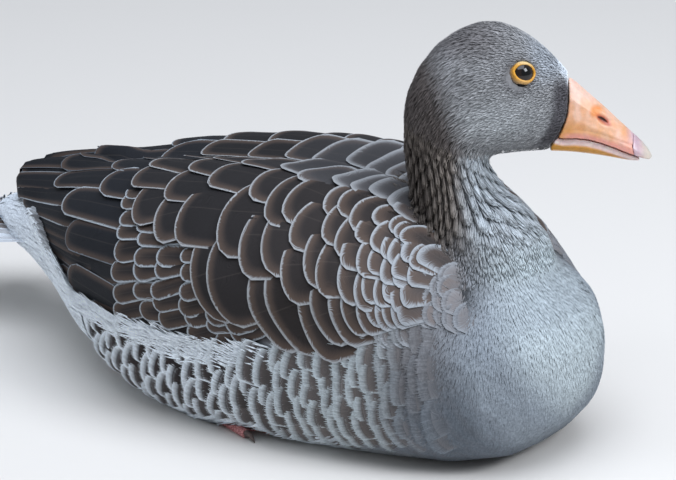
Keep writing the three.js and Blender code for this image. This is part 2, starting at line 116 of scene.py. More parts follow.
TINT = {name: linear(hexed) for name, hexed in COLOURS.items()}


def tint_of(colour):
    """Linear numbers for a name above, for an sRGB colour, or as they are."""
    if isinstance(colour, str):
        return linear(colour) if colour[0] == "#" else TINT[colour]
    return colour


def step(value, low, high):
    """0 below low, 1 above high and smooth between; low may be the higher of the two."""
    t = np.clip((value - low) / (high - low), 0, 1)
    return t * t * (3 - 2 * t)


def blend(a, b, share):
    """a and b mixed, with a share for each row."""
    share = np.asarray(share)[..., None]
    return a * (1 - share) + b * share


def painted(base, *layers):
    """The base colour, with each (colour, share) laid over it in turn."""
    colour = tint_of(base)
    for over, share in layers:
        colour = blend(colour, tint_of(over), share)
    return colour


def unit(v):
    return v / np.maximum(np.linalg.norm(v, axis=-1, keepdims=True), 1e-12)


def flattened(way, normals):
    """Directions laid flat on the surface with these normals, at the length that leaves them."""
    return way - normals * (way * normals).sum(-1, keepdims=True)


def in_mm(points):
    return points[..., 0] / MM, points[..., 1] / MM, points[..., 2] / MM


def near(middle, spread, count):
    """Random numbers round the middle."""
    return middle + rng.uniform(-spread, spread, count)


def ripple(points, size, seed=0):
    """Smooth noise from -1 to 1 that changes over about `size`, as a sum of waves in all directions."""
    waves = np.random.default_rng(1000 + seed)
    total = np.zeros(points.shape[:-1])
    for _ in range(9):
        way = waves.normal(size=3)
        way *= waves.uniform(0.7, 1.4) / np.linalg.norm(way)
        total += np.sin(points @ way * (FULL_TURN / size) + waves.uniform(0, FULL_TURN))
    return total / 3.5


def mottled(colour, points, share, size, seed):
    return colour * (1 + share * ripple(points, size * MM, seed))[..., None]


def vertices_of(mesh):
    points = np.empty(len(mesh.vertices) * 3)
    mesh.vertices.foreach_get("co", points)
    return points.reshape(-1, 3)


def place_vertices(mesh, points):
    mesh.vertices.foreach_set("co", points.astype(np.float32).ravel())


def normals_of(mesh):
    found = np.empty(len(mesh.vertices) * 3, np.float32)
    mesh.vertex_normals.foreach_get("vector", found)
    return found.reshape(-1, 3).astype(float)


def store(mesh, key, value):
    """Keeps a number or a colour for each of the mesh's corners as an attribute."""
    value = np.asarray(value, np.float32)
    count = len(mesh.vertices)
    if value.size == count:
        mesh.attributes.new(key, "FLOAT", "POINT").data.foreach_set("value", value.ravel())
        return
    full = np.ones((count, 4), np.float32)
    full[:, :3] = value.reshape(count, 3)
    mesh.color_attributes.new(key, "FLOAT_COLOR", "POINT").data.foreach_set("color", full.ravel())


def object_of(name, mesh):
    made = bpy.data.objects.new(name, mesh)
    scene.collection.objects.link(made)
    return made


def mesh_of(name, work):
    """The bmesh as a mesh."""
    mesh = bpy.data.meshes.new(name)
    work.to_mesh(mesh)
    work.free()
    return mesh


def finished(made, material, slot, *replaced):
    """A piece with its material, on its body and in place of these nodes. slot is not used."""
    made.data.materials.append(material)
    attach(made, BODY)
    if replaced:
        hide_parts(*replaced)
    return made


def applied(made):
    """The object with its modifiers applied to its mesh."""
    graph = bpy.context.evaluated_depsgraph_get()
    mesh = bpy.data.meshes.new_from_object(made.evaluated_get(graph))
    made.modifiers.clear()
    made.data = mesh
    return made


def copy_of(name, nodes, grow):
    """Copies of CAD nodes as one object, each with its corners merged and moved out by this many mm."""
    whole = bmesh.new()
    for node_name in nodes:
        part = bmesh.new()
        part.from_mesh(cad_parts[node_name].data)
        bmesh.ops.remove_doubles(part, verts=part.verts, dist=1e-6)
        part.normal_update()
        for corner in part.verts:
            corner.co += corner.normal * (grow * MM)
        piece = mesh_of("part", part)
        whole.from_mesh(piece)
        bpy.data.meshes.remove(piece)
    return object_of(name, mesh_of(name, whole))


def remeshed(made, voxel, smoothing):
    """One closed, even surface round the object's solids, in steps of `voxel` mm."""
    remesh = made.modifiers.new("remesh", "REMESH")
    remesh.mode = "VOXEL"
    remesh.voxel_size = voxel * MM
    smooth = made.modifiers.new("smooth", "SMOOTH")
    smooth.factor = 0.5
    smooth.iterations = smoothing
    return applied(made)


def keep_largest(made):
    """Drops the small shells that a remesh leaves in the gaps between solids."""
    work = bmesh.new()
    work.from_mesh(made.data)
    left = set(work.verts)
    largest = set()
    while left:
        shell = set()
        border = [left.pop()]
        while border:
            corner = border.pop()
            shell.add(corner)
            fresh = {edge.other_vert(corner) for edge in corner.link_edges} & left
            left -= fresh
            border.extend(fresh)
        largest = max(largest, shell, key=len)
    bmesh.ops.delete(work, geom=[v for v in work.verts if v not in largest], context="VERTS")
    work.to_mesh(made.data)
    work.free()
    return made


class Surface:
    """A mesh's surface, for finding places and directions on it."""

    TRIES = 5  # places drawn for each that is wanted
    GAP = 0.82  # the least distance between places, as a share of their spacing

    def __init__(self, mesh):
        mesh.calc_loop_triangles()
        self.points = vertices_of(mesh)
        self.normals = normals_of(mesh)
        triangles = np.empty(len(mesh.loop_triangles) * 3, np.int32)
        mesh.loop_triangles.foreach_get("vertices", triangles)
        self.triangles = triangles.reshape(-1, 3)
        self.tree = BVHTree.FromPolygons(self.points.tolist(), self.triangles.tolist())

    def nearest(self, places):
        """The nearest places on the surface, and its smooth normals there."""
        found = [self.tree.find_nearest(place) for place in places.tolist()]
        at = np.array([hit[0] for hit in found])
        return at, unit(self.normals[self.triangles[[hit[2] for hit in found]]].mean(1))

    def scatter(self, wanted, spacing):
        """Places spread evenly over the part of the surface where wanted(points) is above 0. wanted gives how
        dense they are, and spacing is the distance between them, in mm, where that is 1."""
        spacing = spacing * MM
        a, b, c = (self.points[self.triangles[:, i]] for i in range(3))
        area = np.linalg.norm(np.cross(b - a, c - a), axis=1) / 2
        density = np.maximum(wanted((a + b + c) / 3), 0)
        weight = area * density**2
        count = int(self.TRIES * weight.sum() / spacing**2)
        chosen = rng.choice(len(area), count, p=weight / weight.sum())
        s, t = rng.random((2, count, 1))
        over = s + t > 1
        s, t = np.where(over, 1 - s, s), np.where(over, 1 - t, t)
        a, b, c = a[chosen], b[chosen], c[chosen]
        places = a + s * (b - a) + t * (c - a)
        reach = self.GAP * spacing / density[chosen]
        tree = KDTree(count)
        for i, place in enumerate(places.tolist()):
            tree.insert(place, i)
        tree.balance()
        kept = np.ones(count, bool)
        for i, place in enumerate(places.tolist()):
            if kept[i]:
                kept[[j for _, j, _ in tree.find_range(place, reach[i]) if j > i]] = False
        kept &= wanted(places) > 0
        return self.nearest(places[kept])


def cell_of(value, first, pitch, count):
    """The cell of an even row that a value falls in, and how far into it."""
    place = np.clip((value - first) / pitch, 0, count - 1.001)
    cell = place.astype(int)
    return cell, place - cell


class BodyMap:
    """The torso's surface by its place along the body and the angle from the middle of the back."""

    ASIDE = math.radians(1)  # blades give their places aside in degrees, and this map takes radians

    def __init__(self, surface):
        self.xs = np.arange(-262, 133, 2) * MM
        self.angles = np.radians(np.arange(-24, 182, 2))
        reach = 0.4
        radius = np.full((len(self.xs), len(self.angles)), 8 * MM)
        for i, x in enumerate(self.xs):
            for j, angle in enumerate(self.angles):
                out = Vector((0, -math.sin(angle), math.cos(angle)))
                hit = surface.tree.ray_cast(Vector((x, 0, AXIS_HEIGHT)) + out * reach, -out, reach)
                if hit[0] is not None:
                    radius[i, j] = reach - hit[3]
        # Each value is averaged with its neighbours, so that blades bridge the surface's small dents.
        kernel = np.exp(-0.5 * (np.arange(-4, 5) / 1.7) ** 2)
        kernel /= kernel.sum()
        for axis in (0, 1):
            pad = [(4, 4) if axis == k else (0, 0) for k in (0, 1)]
            wide = np.pad(radius, pad, mode="edge")
            radius = np.apply_along_axis(lambda line: np.convolve(line, kernel, "valid"), axis, wide)
        x = np.broadcast_to(self.xs[:, None], radius.shape)
        y, z = -radius * np.sin(self.angles), AXIS_HEIGHT + radius * np.cos(self.angles)
        self.grid = np.stack([x, y, z], -1)
        around = np.gradient(self.grid, axis=1)
        self.normal = unit(np.cross(around, np.gradient(self.grid, axis=0)))
        self.arc = np.linalg.norm(around, axis=-1) / (self.angles[1] - self.angles[0])

    def read(self, values, x, angle):
        """Values of a grid at these stations and angles."""
        i, f = cell_of(x, self.xs[0], self.xs[1] - self.xs[0], len(self.xs))
        j, g = cell_of(angle, self.angles[0], self.angles[1] - self.angles[0], len(self.angles))
        if values.ndim == 3:
            f, g = f[..., None], g[..., None]
        this = values[i, j] * (1 - g) + values[i, j + 1] * g
        following = values[i + 1, j] * (1 - g) + values[i + 1, j + 1] * g
        return this * (1 - f) + following * f

    def at(self, x, angle):
        return self.read(self.grid, x, angle), unit(self.read(self.normal, x, angle))

    def per_turn(self, x, angle):
        """How far one radian is over the surface."""
        return self.read(self.arc, x, angle)


class PlanMap:
    """The upper surface of thin parts by its place in plan."""

    ASIDE = -MM  # blades give theirs in mm to the right, and this map takes metres to the left

    def __init__(self, surface, low, high):
        self.low = np.array(low)
        self.pitch = 2 * MM
        self.shape = tuple(int(round((b - a) / self.pitch)) + 1 for a, b in zip(low, high))
        top = np.full(self.shape, np.nan)
        for i in range(self.shape[0]):
            for j in range(self.shape[1]):
                x, y = self.low + np.array([i, j]) * self.pitch
                hit = surface.tree.ray_cast(Vector((x, y, 0.4)), Vector((0, 0, -1)))
                if hit[0] is not None:
                    top[i, j] = hit[0].z
        # Where nothing lies below, the surface runs on at the height of the nearest part.
        while np.isnan(top).any():
            beside = self.beside(top, constant_values=np.nan)
            count = (~np.isnan(beside)).sum(0)
            mean = np.where(count > 0, np.nansum(beside, 0) / np.maximum(count, 1), np.nan)
            top = np.where(np.isnan(top), mean, top)
        for _ in range(6):
            top = (4 * top + sum(self.beside(top, mode="edge"))) / 8
        self.top = top

    def beside(self, top, **padding):
        """The grid's values one place before, behind and to each side."""
        wide = np.pad(top, 1, **padding)
        return [wide[:-2, 1:-1], wide[2:, 1:-1], wide[1:-1, :-2], wide[1:-1, 2:]]

    def at(self, x, y):
        i, f = cell_of(x, self.low[0], self.pitch, self.shape[0])
        j, g = cell_of(y, self.low[1], self.pitch, self.shape[1])
        a, b = self.top[i, j], self.top[i + 1, j]
        c, d = self.top[i, j + 1], self.top[i + 1, j + 1]
        z = (a * (1 - f) + b * f) * (1 - g) + (c * (1 - f) + d * f) * g
        slope_x = ((b - a) * (1 - g) + (d - c) * g) / self.pitch
        slope_y = ((c - a) * (1 - f) + (d - b) * f) / self.pitch
        return np.stack([x, y, z], -1), unit(np.stack([-slope_x, -slope_y, np.ones_like(x)], -1))

    def per_turn(self, x, y):
        """How far one unit aside is to the right: a metre to the left."""
        return -np.ones_like(x)


def head_frame(points):
    """Places in the head's own frame, in mm: forward from the turning axis, to its right, and up."""
    off = points - HEAD_PIVOT
    along = off[..., 0] * COS_TURN + off[..., 1] * SIN_TURN
    across = off[..., 0] * SIN_TURN - off[..., 1] * COS_TURN
    return along / MM, across / MM, points[..., 2] / MM


def from_head(along, across, height):
    """The place of a point given in mm in the head's frame."""
    x = along * COS_TURN + across * SIN_TURN
    y = along * SIN_TURN - across * COS_TURN
    return np.array([x, y, height]) * MM + HEAD_PIVOT


# ---- Markings: one set for skin and coat ----------------------------------------------------------


def neck_front(points):
    """How far round the neck a place is from the way the neck faces, in degrees."""
    up = points[..., 2] / MM
    centre = np.interp(up, [90, 109, 124, 143, 166, 190], [89, 84.5, 69, 57.5, 53, 60]) * MM
    facing = TURN * np.interp(up, [90, 109, 124, 143, 166], [0, 0.1, 0.3, 0.65, 0.95])
    angle = np.arctan2(points[..., 1], points[..., 0] - centre) - facing
    return np.degrees(np.abs((angle + math.pi) % FULL_TURN - math.pi))


def ridge_foot(points):
    """The height, in mm, at which the neck's ridges run out: lower at its back."""
    return 114 - 22 * step(neck_front(points), 50, 125)


def crease(points):
    """1 in the groove between the neck's foot and the shoulder's feathers, and 0 away from it."""
    spots = [(85, 29, 138), (87, 33, 130), (89, 36, 120), (93, 37, 109), (95, 40, 103), (97, 41, 98)]
    places = np.stack([points[..., 0], np.abs(points[..., 1]), points[..., 2]], -1)[..., None, :] / MM
    return np.exp(-((np.linalg.norm(places - spots, axis=-1).min(-1) / 6.5) ** 2))


def off_neck_line(points):
    """How far before and beside the neck's leaning middle line a place is, in mm."""
    x, y, up = in_mm(points)
    return x + NECK_LEAN * (up - 140) - 60, y


def furrow(points):
    """1 on the ridges of the neck's plumage and 0 between them, with how strongly they show, and the count of
    ridges up to each place."""
    up = points[..., 2] / MM
    x, y = off_neck_line(points)
    wander = 0.22 * ripple(points * [1, 1, 0.25], 24 * MM, 3)
    phase = FURROWS * np.arctan2(y, x) / FULL_TURN + wander
    low = ridge_foot(points)
    along, _, _ = head_frame(points)
    strength = step(up, 184, 158) * step(up, low - 4, low + 24)
    strength = strength * (1 - step(along, 8, 22) * step(up, 152, 160))
    return 0.5 + 0.5 * np.cos(FULL_TURN * phase), strength, phase


def head_colour(points):
    along, across, up = head_frame(points)
    cheek = np.exp(-(((along - 24) / 22) ** 2) - ((up - 181) / 13) ** 2)
    behind = along - (-4 + (215 - up) * 0.36)
    front = along - np.interp(np.minimum(up, 200), *BILL_BORDER)
    lore = step(front, -11, -5) * step(up, 206, 196) * step(up, 160, 170)
    chin = 0.6 * step(front, -12, -5) * step(up, 172, 164)
    colour = painted(
        "face",
        ("cheek", cheek),
        ("forehead", step(along, 36, 52) * step(up, 196, 209)),
        ("crown", 0.8 * step(up, 210, 224) * step(along, 42, 14)),
        ("nape", step(behind, 4, -13) * step(along, 32, 18)),
        ("lore", 0.35 * step(np.hypot(along - 37.7, up - 206), 12, 7)),
        ("lore", 0.86 * np.maximum(lore, chin)),
    )
    ridge, _, _ = furrow(points)
    streaks = (1 - ridge) * step(along, 14, -10) * step(up, 216, 190)
    wedge = step(along + 0.35 * (up - 200), 61, 63) * step(up, 194, 198) * step(np.abs(across), 8, 5)
    colour = painted(colour * (1 - 0.42 * streaks)[..., None], ("covert_white", wedge))
    return mottled(colour, points, 0.07, 9, 1)


def neck_colour(points):
    ridge, strength, _ = furrow(points)
    aside = neck_front(points)
    pale = painted("neck_buff", ("neck_silver", step(aside, 85, 50)))
    dark = painted("neck_dark", ("nape", step(aside, 100, 40)))
    shown = strength * (1 - 0.75 * step(aside, 85, 35))
    colour = painted(pale, (dark, 0.5 * step(aside, 68, 130)), (dark, (1 - ridge) ** 1.5 * shown))
    return mottled(colour, points, 0.08, 7, 2)


def body_angle(points):
    """The angle of a place from the middle of the back, in degrees, alike on both sides."""
    return np.degrees(np.arctan2(np.abs(points[..., 1]), points[..., 2] - AXIS_HEIGHT))


def wing_edge(x):
    """The angle, in degrees from the middle of the back, of the folded wing's lower border."""
    return np.interp(x, [-232, -205, -178, -150, -138, -20, 30, 60, 92], [58, 72, 84, 93, 97, 96, 87, 77, 65])


def body_colour(points):
    x, y, up = in_mm(points)
    angle = body_angle(points)
    edge = wing_edge(x)
    level = up + 1.4 * (x - 0.45 * np.abs(y) - 100)
    wave = 0.5 + 0.5 * np.sin(FULL_TURN * (x * 0.8 + up * 0.75) / 8.5 + 1.6 * ripple(points, 30 * MM, 4))
    # Paler towards the top and front of the breast and darker low down: partly its own colour, partly painted
    # light from the front and painted shade under the bird.
    colour = painted(
        "breast_high",
        ("breast", step(level, 112, 70)),
        ("breast", 0.4 * step(up, 78, 90) * step(up, 114, 102) * step(level, 150, 125)),
        ("breast_low", step(level, 54, 14)),
        ("breast_bar", wave**2 * (0.16 + 0.4 * step(up, 85, 30)) * step(x, 150, 60)),
        ("belly", step(angle, 122, 145) * step(x, 100, 50)),
        ("shoulder", 0.6 * step(x, 118, 86) * step(angle, 122, 80)),
        ("flank_white", step(x, 62, 25) * step(angle, edge - 3, edge + 3)),
        ("back", step(x, 88, 60) * step(angle, edge, edge - 5)),
        ("covert_white", np.maximum(step(x, -200, -222) * step(angle, 60, 80), step(x, -230, -242))),
    )
    return mottled(colour, points, 0.05, 11, 5)


def plumage(points):
    """The colour of the skin and of the small feathers that grow there, with painted shade in the crease by
    the shoulder.
    """
    along, _, up = head_frame(points)
    colour = painted(
        body_colour(points),
        (neck_colour(points), step(up + 0.16 * neck_front(points), 116, 136)),
        (head_colour(points), step(up + 0.45 * along, 160, 178)),
    )
    # In the crease between the neck's foot and the shoulder the colour is darkened: painted shade in the
    # groove.
    return colour * (1 - 0.8 * crease(points))[..., None]


def lie(points, normals):
    """The way the coat lies at each place, along the surface."""
    x = points[..., 0] / MM
    along, _, up = head_frame(points)
    drop = 0.12 + 1.5 * step(along, 26, -20) + 0.5 * step(up, 175, 160) * step(along, 40, 15)
    head = -np.array([COS_TURN, SIN_TURN, 0]) - drop[..., None] * np.array([0, 0, 1.0])
    back = (0.12 + 0.75 * step(x, 118, 60))[..., None]
    under = (step(body_angle(points), 118, 150) * step(x, 112, 88))[..., None]
    body = np.array([-1.0, 0, 0]) * back + np.array([0, 0, -0.75]) + np.array([0, 0, 0.95]) * under
    way = blend(body, np.array([NECK_LEAN, 0, -1.0]), step(up, 96, 118) * step(x, 20, 45))
    way = blend(way, head, step(up + 0.5 * along, 158, 182))
    return unit(flattened(way, normals))


# ---- Meshes of many like shapes -------------------------------------------------------------------


def many(name, points, faces, values, uvs, flip=False):
    """One mesh of like shapes. points is (copies, corners, 3) and faces index one copy's corners. values are
    numbers or colours for each corner, and uvs places for each corner on a map."""
    copies, corners = points.shape[:2]
    points = np.maximum(points, [-FAR, -FAR, FEATHER_GROUND])
    if flip:
        faces = [face[::-1] for face in faces]
    order = np.concatenate(faces)
    starts = np.cumsum([0] + [len(face) for face in faces[:-1]])
    loops = (order[None] + corners * np.arange(copies)[:, None]).ravel()
    mesh = bpy.data.meshes.new(name)
    mesh.vertices.add(copies * corners)
    place_vertices(mesh, points)
    mesh.loops.add(len(loops))
    mesh.loops.foreach_set("vertex_index", loops.astype(np.int32))
    mesh.polygons.add(copies * len(faces))
    firsts = starts[None] + len(order) * np.arange(copies)[:, None]
    mesh.polygons.foreach_set("loop_start", firsts.astype(np.int32).ravel())
    mesh.update(calc_edges=True)
    mesh.shade_smooth()
    for key, value in values.items():
        store(mesh, key, value)
    for key, value in uvs.items():
        layer = mesh.uv_layers.new(name=key, do_init=False)
        layer.uv.foreach_set("vector", value.reshape(-1, 2)[loops].astype(np.float32).ravel())
    return mesh


def skin_place(points):
    """Where places lie on an unwrap of the skin: along the bird, and round it."""
    x, y, up = in_mm(points)
    along, across, _ = head_frame(points)
    body = np.stack([x, np.degrees(np.arctan2(y, up - AXIS_HEIGHT / MM))], -1)
    neck = np.stack([330 - up, np.degrees(np.arctan2(y, x - 62))], -1)
    head = np.stack([240 + along, np.degrees(np.arctan2(across, up - 188))], -1)
    place = blend(body, neck, (up > 112) & (x > 20))
    return blend(place, head, up + 0.45 * along > 170)


def spread_places(roots):
    """The roots' places on the unwrap, stretched to fill the map."""
    place = skin_place(roots)
    low, high = place.min(0), place.max(0)
    return 0.01 + 0.98 * (place - low) / np.maximum(high - low, 1e-6)


def cell_places(roots):
    """A cell of its own for each large feather, in the order of the roots' places, and the cell's size."""
    place = skin_place(roots)
    columns = math.ceil(math.sqrt(len(place)))
    order = np.argsort(place[:, 0], kind="stable")
    cells = np.empty((len(place), 2))
    for column in range(columns):
        chosen = order[column * columns : (column + 1) * columns]
        ranked = chosen[np.argsort(place[chosen, 1], kind="stable")]
        cells[ranked] = np.stack([np.full(len(ranked), column), np.arange(len(ranked))], -1)
    return (cells + 0.5) / columns, 1 / columns


class Tuft:
    """A thin closed barb or lock with a keel: three corners at each station and one at the tip."""

    def __init__(self, stations, widths, keel):
        count = len(stations)
        faces = [(0, 2, 1)]
        for a in range(0, 3 * count - 3, 3):
            b = a + 3
            faces += [(a, a + 1, b + 1, b), (a + 1, a + 2, b + 2, b + 1), (a + 2, a, b, b + 2)]
        end, point = 3 * count - 3, 3 * count
        self.faces = faces + [(end, end + 1, point), (end + 1, end + 2, point), (end + 2, end, point)]
        self.along = np.append(np.repeat(stations, 3), 1.0)
        self.across = np.append(np.tile([1.0, 0.0, -1.0], count) * np.repeat(widths, 3), 0.0)
        self.up = np.append(np.ravel([[0, width * keel, 0] for width in widths]), 0.0)

    def grow(self, name, roots, normals, way, sizes, tint, slot, tone, vary, soft=0.0):
        """A coat piece of tufts from these roots on the surface. sizes are their length, their width, how
        deep under it they start and how far over it they end, in mm. tone is how dark their roots and how
        light their tips are, and vary how much they differ. Soft ones are shaded as one downy surface."""
        count = len(roots)
        lightness = 1 + rng.normal(0, vary, (count, 1))
        length, width, deep, rise = (np.broadcast_to(size, count)[:, None] * MM for size in sizes)
        tips, tip_normals = surface.nearest(roots + way * length)
        v = self.along[:, None]
        run = (way * length)[:, None]
        bend = (tips - roots)[:, None] - run
        up = unit(normals[:, None] * (1 - v) + tip_normals[:, None] * v)
        side = unit(np.cross(up, unit(run + 2 * bend * v)))
        lift = -deep * (1 - self.along) ** 1.3 + rise * self.along**1.5 + self.up * width / 2
        points = roots[:, None] + run * v + bend * v**2 + up * lift[..., None]
        points = points + side * (self.across * width / 2)[..., None]
        shades = np.stack([tint * lightness * (tone[0] + (tone[1] - tone[0]) * t) for t in self.along], 1)
        patch = np.stack([self.along - 0.5, self.across / 2], -1) * PATCH
        bake = spread_places(roots)[:, None] + patch
        mesh = many(name, points, self.faces, {"tint": shades}, {"OFBake": bake})
        if soft:
            facing = unit(up + side * (soft * self.across)[:, None])
            mesh.normals_split_custom_set_from_vertices(facing.reshape(-1, 3))
        return finished(object_of(name, mesh), small, slot)


def lift_of(got, v, u, camber):
    """How high blades stand over the surface at places along and across them."""
    rise = got["low"] + (got["high"] - got["low"]) * np.clip(v, 0, 1.2) ** 0.9
    return rise + got["roll"] * u * (0.3 + 0.7 * v) - camber * u**2


class Vane:
    """A closed feather blade: a grid of corners above and one below that share the outline."""

    ROOT = 0.45  # the width at the root, as a share of the full width
    CORNER = 0.985  # 1 would round the tip to a half circle, which the last rows of corners can't follow

    def __init__(self, columns, rows, full=0.4, roundness=1.0, sides=1.0):
        self.full = full  # the share of the length at which the blade is at its widest
        self.roundness = roundness
        self.sides = sides  # above 1, the fringe is narrower along the sides than at the tip
        upper = np.arange(rows * columns).reshape(rows, columns)
        lower = upper.copy()
        inner = (rows - 2, columns - 2)
        lower[1:-1, 1:-1] = rows * columns + np.arange(math.prod(inner)).reshape(inner)
        self.faces = []
        for i in range(rows - 1):
            for j in range(columns - 1):
                for grid, turn in ((upper, 1), (lower, -1)):
                    ring = [grid[i, j], grid[i + 1, j], grid[i + 1, j + 1], grid[i, j + 1]]
                    self.faces.append(ring[::turn])
        corners = np.append(upper, upper[1:-1, 1:-1])
        self.v = (1 - (1 - np.linspace(0, 1, rows)) ** 1.25)[corners // columns]
        self.u = np.linspace(-1, 1, columns)[corners % columns]
        self.below = np.arange(len(corners)) >= rows * columns

    def round_off(self, half, u):
        """How much shorter the blade is at each place across than at its middle."""
        return self.roundness * half * (1 - np.sqrt(1 - self.CORNER * u**2))

    def grow(self, name, spot, got, roots, camber, thick, flip):
        """A mesh of blades. spot(along, across) gives places on the surface and its normals there."""
        v, u, length, half = self.v, self.u, got["length"], got["width"] / 2
        swell = np.sin(np.minimum(v / self.full, 1) * math.pi / 2)
        half_here = (self.ROOT + (1 - self.ROOT) * swell) * half
        short = self.round_off(half, u)
        along = length * v - short * v**4
        across = u * half_here
        side = (1 - np.abs(u)) * half_here * self.sides
        end = length * (1 - v) - short * (1 - v**4)
        rim = np.maximum(side * end / np.sqrt(side**2 + end**2 + 1e-12), 0) / MM
        place, normal = spot(along, across)
        height = lift_of(got, v, u, camber) - np.where(self.below, thick * (1 - u**4), 0)
        cells, size = cell_places(roots)
        local = np.stack([v - 0.5, u / 2], -1) * size * 0.94
        uvs = {"Vane": np.stack([across, along], -1) / MM / VANE_MAP, "OFBake": cells[:, None] + local}
        each = np.ones_like(rim)
        values = {key: got[key] * each[..., None] for key in ("tint", "edge")}
        values.update(rim=rim, fringe=got["fringe"] / MM * each)
        mesh = many(name, place + normal * height[..., None], self.faces, values, uvs, flip)
        mesh.set_sharp_from_angle(angle=math.radians(60))
        return mesh


class Hairs(Tuft):
    """Loose barbs along the tips of blades, in each blade's own frame."""

    def fray(self, name, vane, spot, got, roots, camber, count, inside, past, flip):
        """count barbs for each blade, from `inside` mm before its outline to about `past` mm beyond it."""
        each = (len(roots), count)
        u = np.linspace(-0.93, 0.93, count)[None] + rng.uniform(-0.03, 0.03, each)
        half = got["width"] / 2
        end = got["length"] - vane.round_off(half, u) - inside * MM
        reach = past * MM * rng.uniform(0.1, 1.0, each) + inside * MM
        t = self.along
        fan = rng.normal(0.12, 0.05, each) * u
        run = reach[..., None] * t
        along = end[..., None] + run
        barb = 0.40 * MM * rng.uniform(0.8, 1.3, (*each, 1))
        across = (u * half)[..., None] + fan[..., None] * run + self.across * barb
        u = u[..., None]
        wide = {key: got[key][..., None] for key in ("length", "low", "high", "roll")}
        height = lift_of(wide, along / wide["length"], u, camber)
        height = height + (self.up * 0.4 + 0.05 + 0.3 * t * (1 - t)) * MM
        flat = (len(roots), -1)
        place, normal = spot(along.reshape(flat), across.reshape(flat))
        points = place + normal * height.reshape(flat)[..., None]
        tint = blend(got["tint"][:, None], got["edge"][:, None], step(t, 0.34, 0.58))
        tint = tint * rng.normal(1, 0.08, (*each, 1, 1))
        patch = np.stack(np.broadcast_arrays(t - 0.5, u), -1) * BARB_PATCH
        bake = spread_places(roots)[:, None, None] + patch
        mesh = many(name, points.reshape(-1, len(t), 3), self.faces, {"tint": tint}, {"OFBake": bake}, flip)
        mesh.normals_split_custom_set_from_vertices(normal.reshape(-1, 3))
        return mesh


def laid(ground, x, aside, heading, side):
    """A way to place blades over a map from their roots, turned by the heading from straight back."""
    scale = ground.per_turn(x, aside)
    c, s = np.cos(heading), np.sin(heading)
    mirror = np.array([1, side, 1])

    def spot(along, across):
        back = along * c - across * s
        down = along * s + across * c
        place, normal = ground.at(x - back, aside + down / scale)
        return place * mirror, normal * mirror

    return spot


class Blades:
    """Blades for the torso or the tail, gathered tract by tract and made one mesh for each side."""

    def __init__(self):
        self.rows = []

    def add(self, x, aside, heading, tint, edge, **sizes):
        """Tips at these stations, in mm, and angles in degrees, or mm aside in plan. The rest has one
        value or one for each tip: heading in degrees below straight back, the colours of the blade and of
        its fringe, and in mm the length, width, height at the root (low) and tip (high), how much higher
        its lower edge lies (roll), and the fringe."""
        count = len(x)
        row = {key: np.broadcast_to(size, count) * MM for key, size in {"x": x, **sizes}.items()}
        row["aside"] = aside
        row["heading"] = np.radians(np.broadcast_to(heading, count))
        row["tint"] = np.broadcast_to(tint_of(tint), (count, 3))
        row["edge"] = np.broadcast_to(tint_of(edge), (count, 3))
        self.rows.append(row)

    def grow(self, name, ground, vane, side, slot, camber, thick, hairs=None):
        got = {key: np.concatenate([row[key] for row in self.rows])[:, None] for key in self.rows[0]}
        x, aside, heading = got["x"], got["aside"] * ground.ASIDE, got["heading"]
        aside = aside - got["length"] * np.sin(heading) / ground.per_turn(x, aside)
        spot = laid(ground, x + got["length"] * np.cos(heading), aside, heading, side)
        nothing = np.zeros_like(x)
        roots = spot(nothing, nothing)[0][:, 0]
        mesh = vane.grow(name, spot, got, roots, camber * MM, thick * MM, side < 0)
        if hairs:
            barbs = Hairs((0, 0.5), (0.9, 1.0), 0.25)
            frayed = barbs.fray(f"{name}_barbs", vane, spot, got, roots, camber * MM, *hairs, side < 0)
            finished(object_of(f"{name}_barbs", frayed), small, slot)
        return finished(object_of(name, mesh), vanes, slot)


# ---- Camera and light -----------------------------------------------------------------------------

VIEW_AZIMUTH = math.radians(38)
VIEW_HEIGHT = math.radians(19)
VIEW_TARGET = Vector((-0.020, 0, 0.093))
VIEW_DISTANCE = 1.8
LAMPS = {  # place, size in metres, watts, colour
    "sky": ((0.3, -0.3, 2.3), 2.2, 55, "#eef4ff"),
    "front": ((1.6, 0.15, 1.35), 0.8, 24, "#f3f7ff"),
    "side": ((-1.9, -1.5, 1.0), 1.5, 5, "#eef3ff"),
}


def aimed(name, data, place):
    """A camera or lamp at this place that faces the bird."""
    made = object_of(name, data)
    made.location = place
    made.rotation_euler = (VIEW_TARGET - place).to_track_quat("-Z", "Y").to_euler()
    return made


def studio():
    level = math.cos(VIEW_HEIGHT)
    out = Vector((math.sin(VIEW_AZIMUTH) * level, -math.cos(VIEW_AZIMUTH) * level, math.sin(VIEW_HEIGHT)))
    lens = bpy.data.cameras.new("camera")
    lens.lens = 172.5
    lens.sensor_width = 36
    lens.clip_start = 0.05
    scene.camera = aimed("camera", lens, VIEW_TARGET + out * VIEW_DISTANCE)
    for name, (place, size, power, colour) in LAMPS.items():
        lamp = bpy.data.lights.new(name, "AREA")
        lamp.size = size
        lamp.energy = power
        lamp.color = linear(colour)
        aimed(name, lamp, Vector(place))
    world = bpy.data.worlds.new("overcast")
    world.use_nodes = True
    background = world.node_tree.nodes["Background"]
    background.inputs["Color"].default_value = (*linear("#dfe6f0"), 1)
    background.inputs["Strength"].default_value = 0.42
    scene.world = world
    scene.view_settings.view_transform = "Standard"


# ---- Feather materials ----------------------------------------------------------------------------

SMOOTH = {"interpolation_type": "SMOOTHSTEP"}
COLOURED = {"data_type": "RGBA"}
SHARE, UNDER, OVER = 0, 6, 7  # a colour mix's sockets


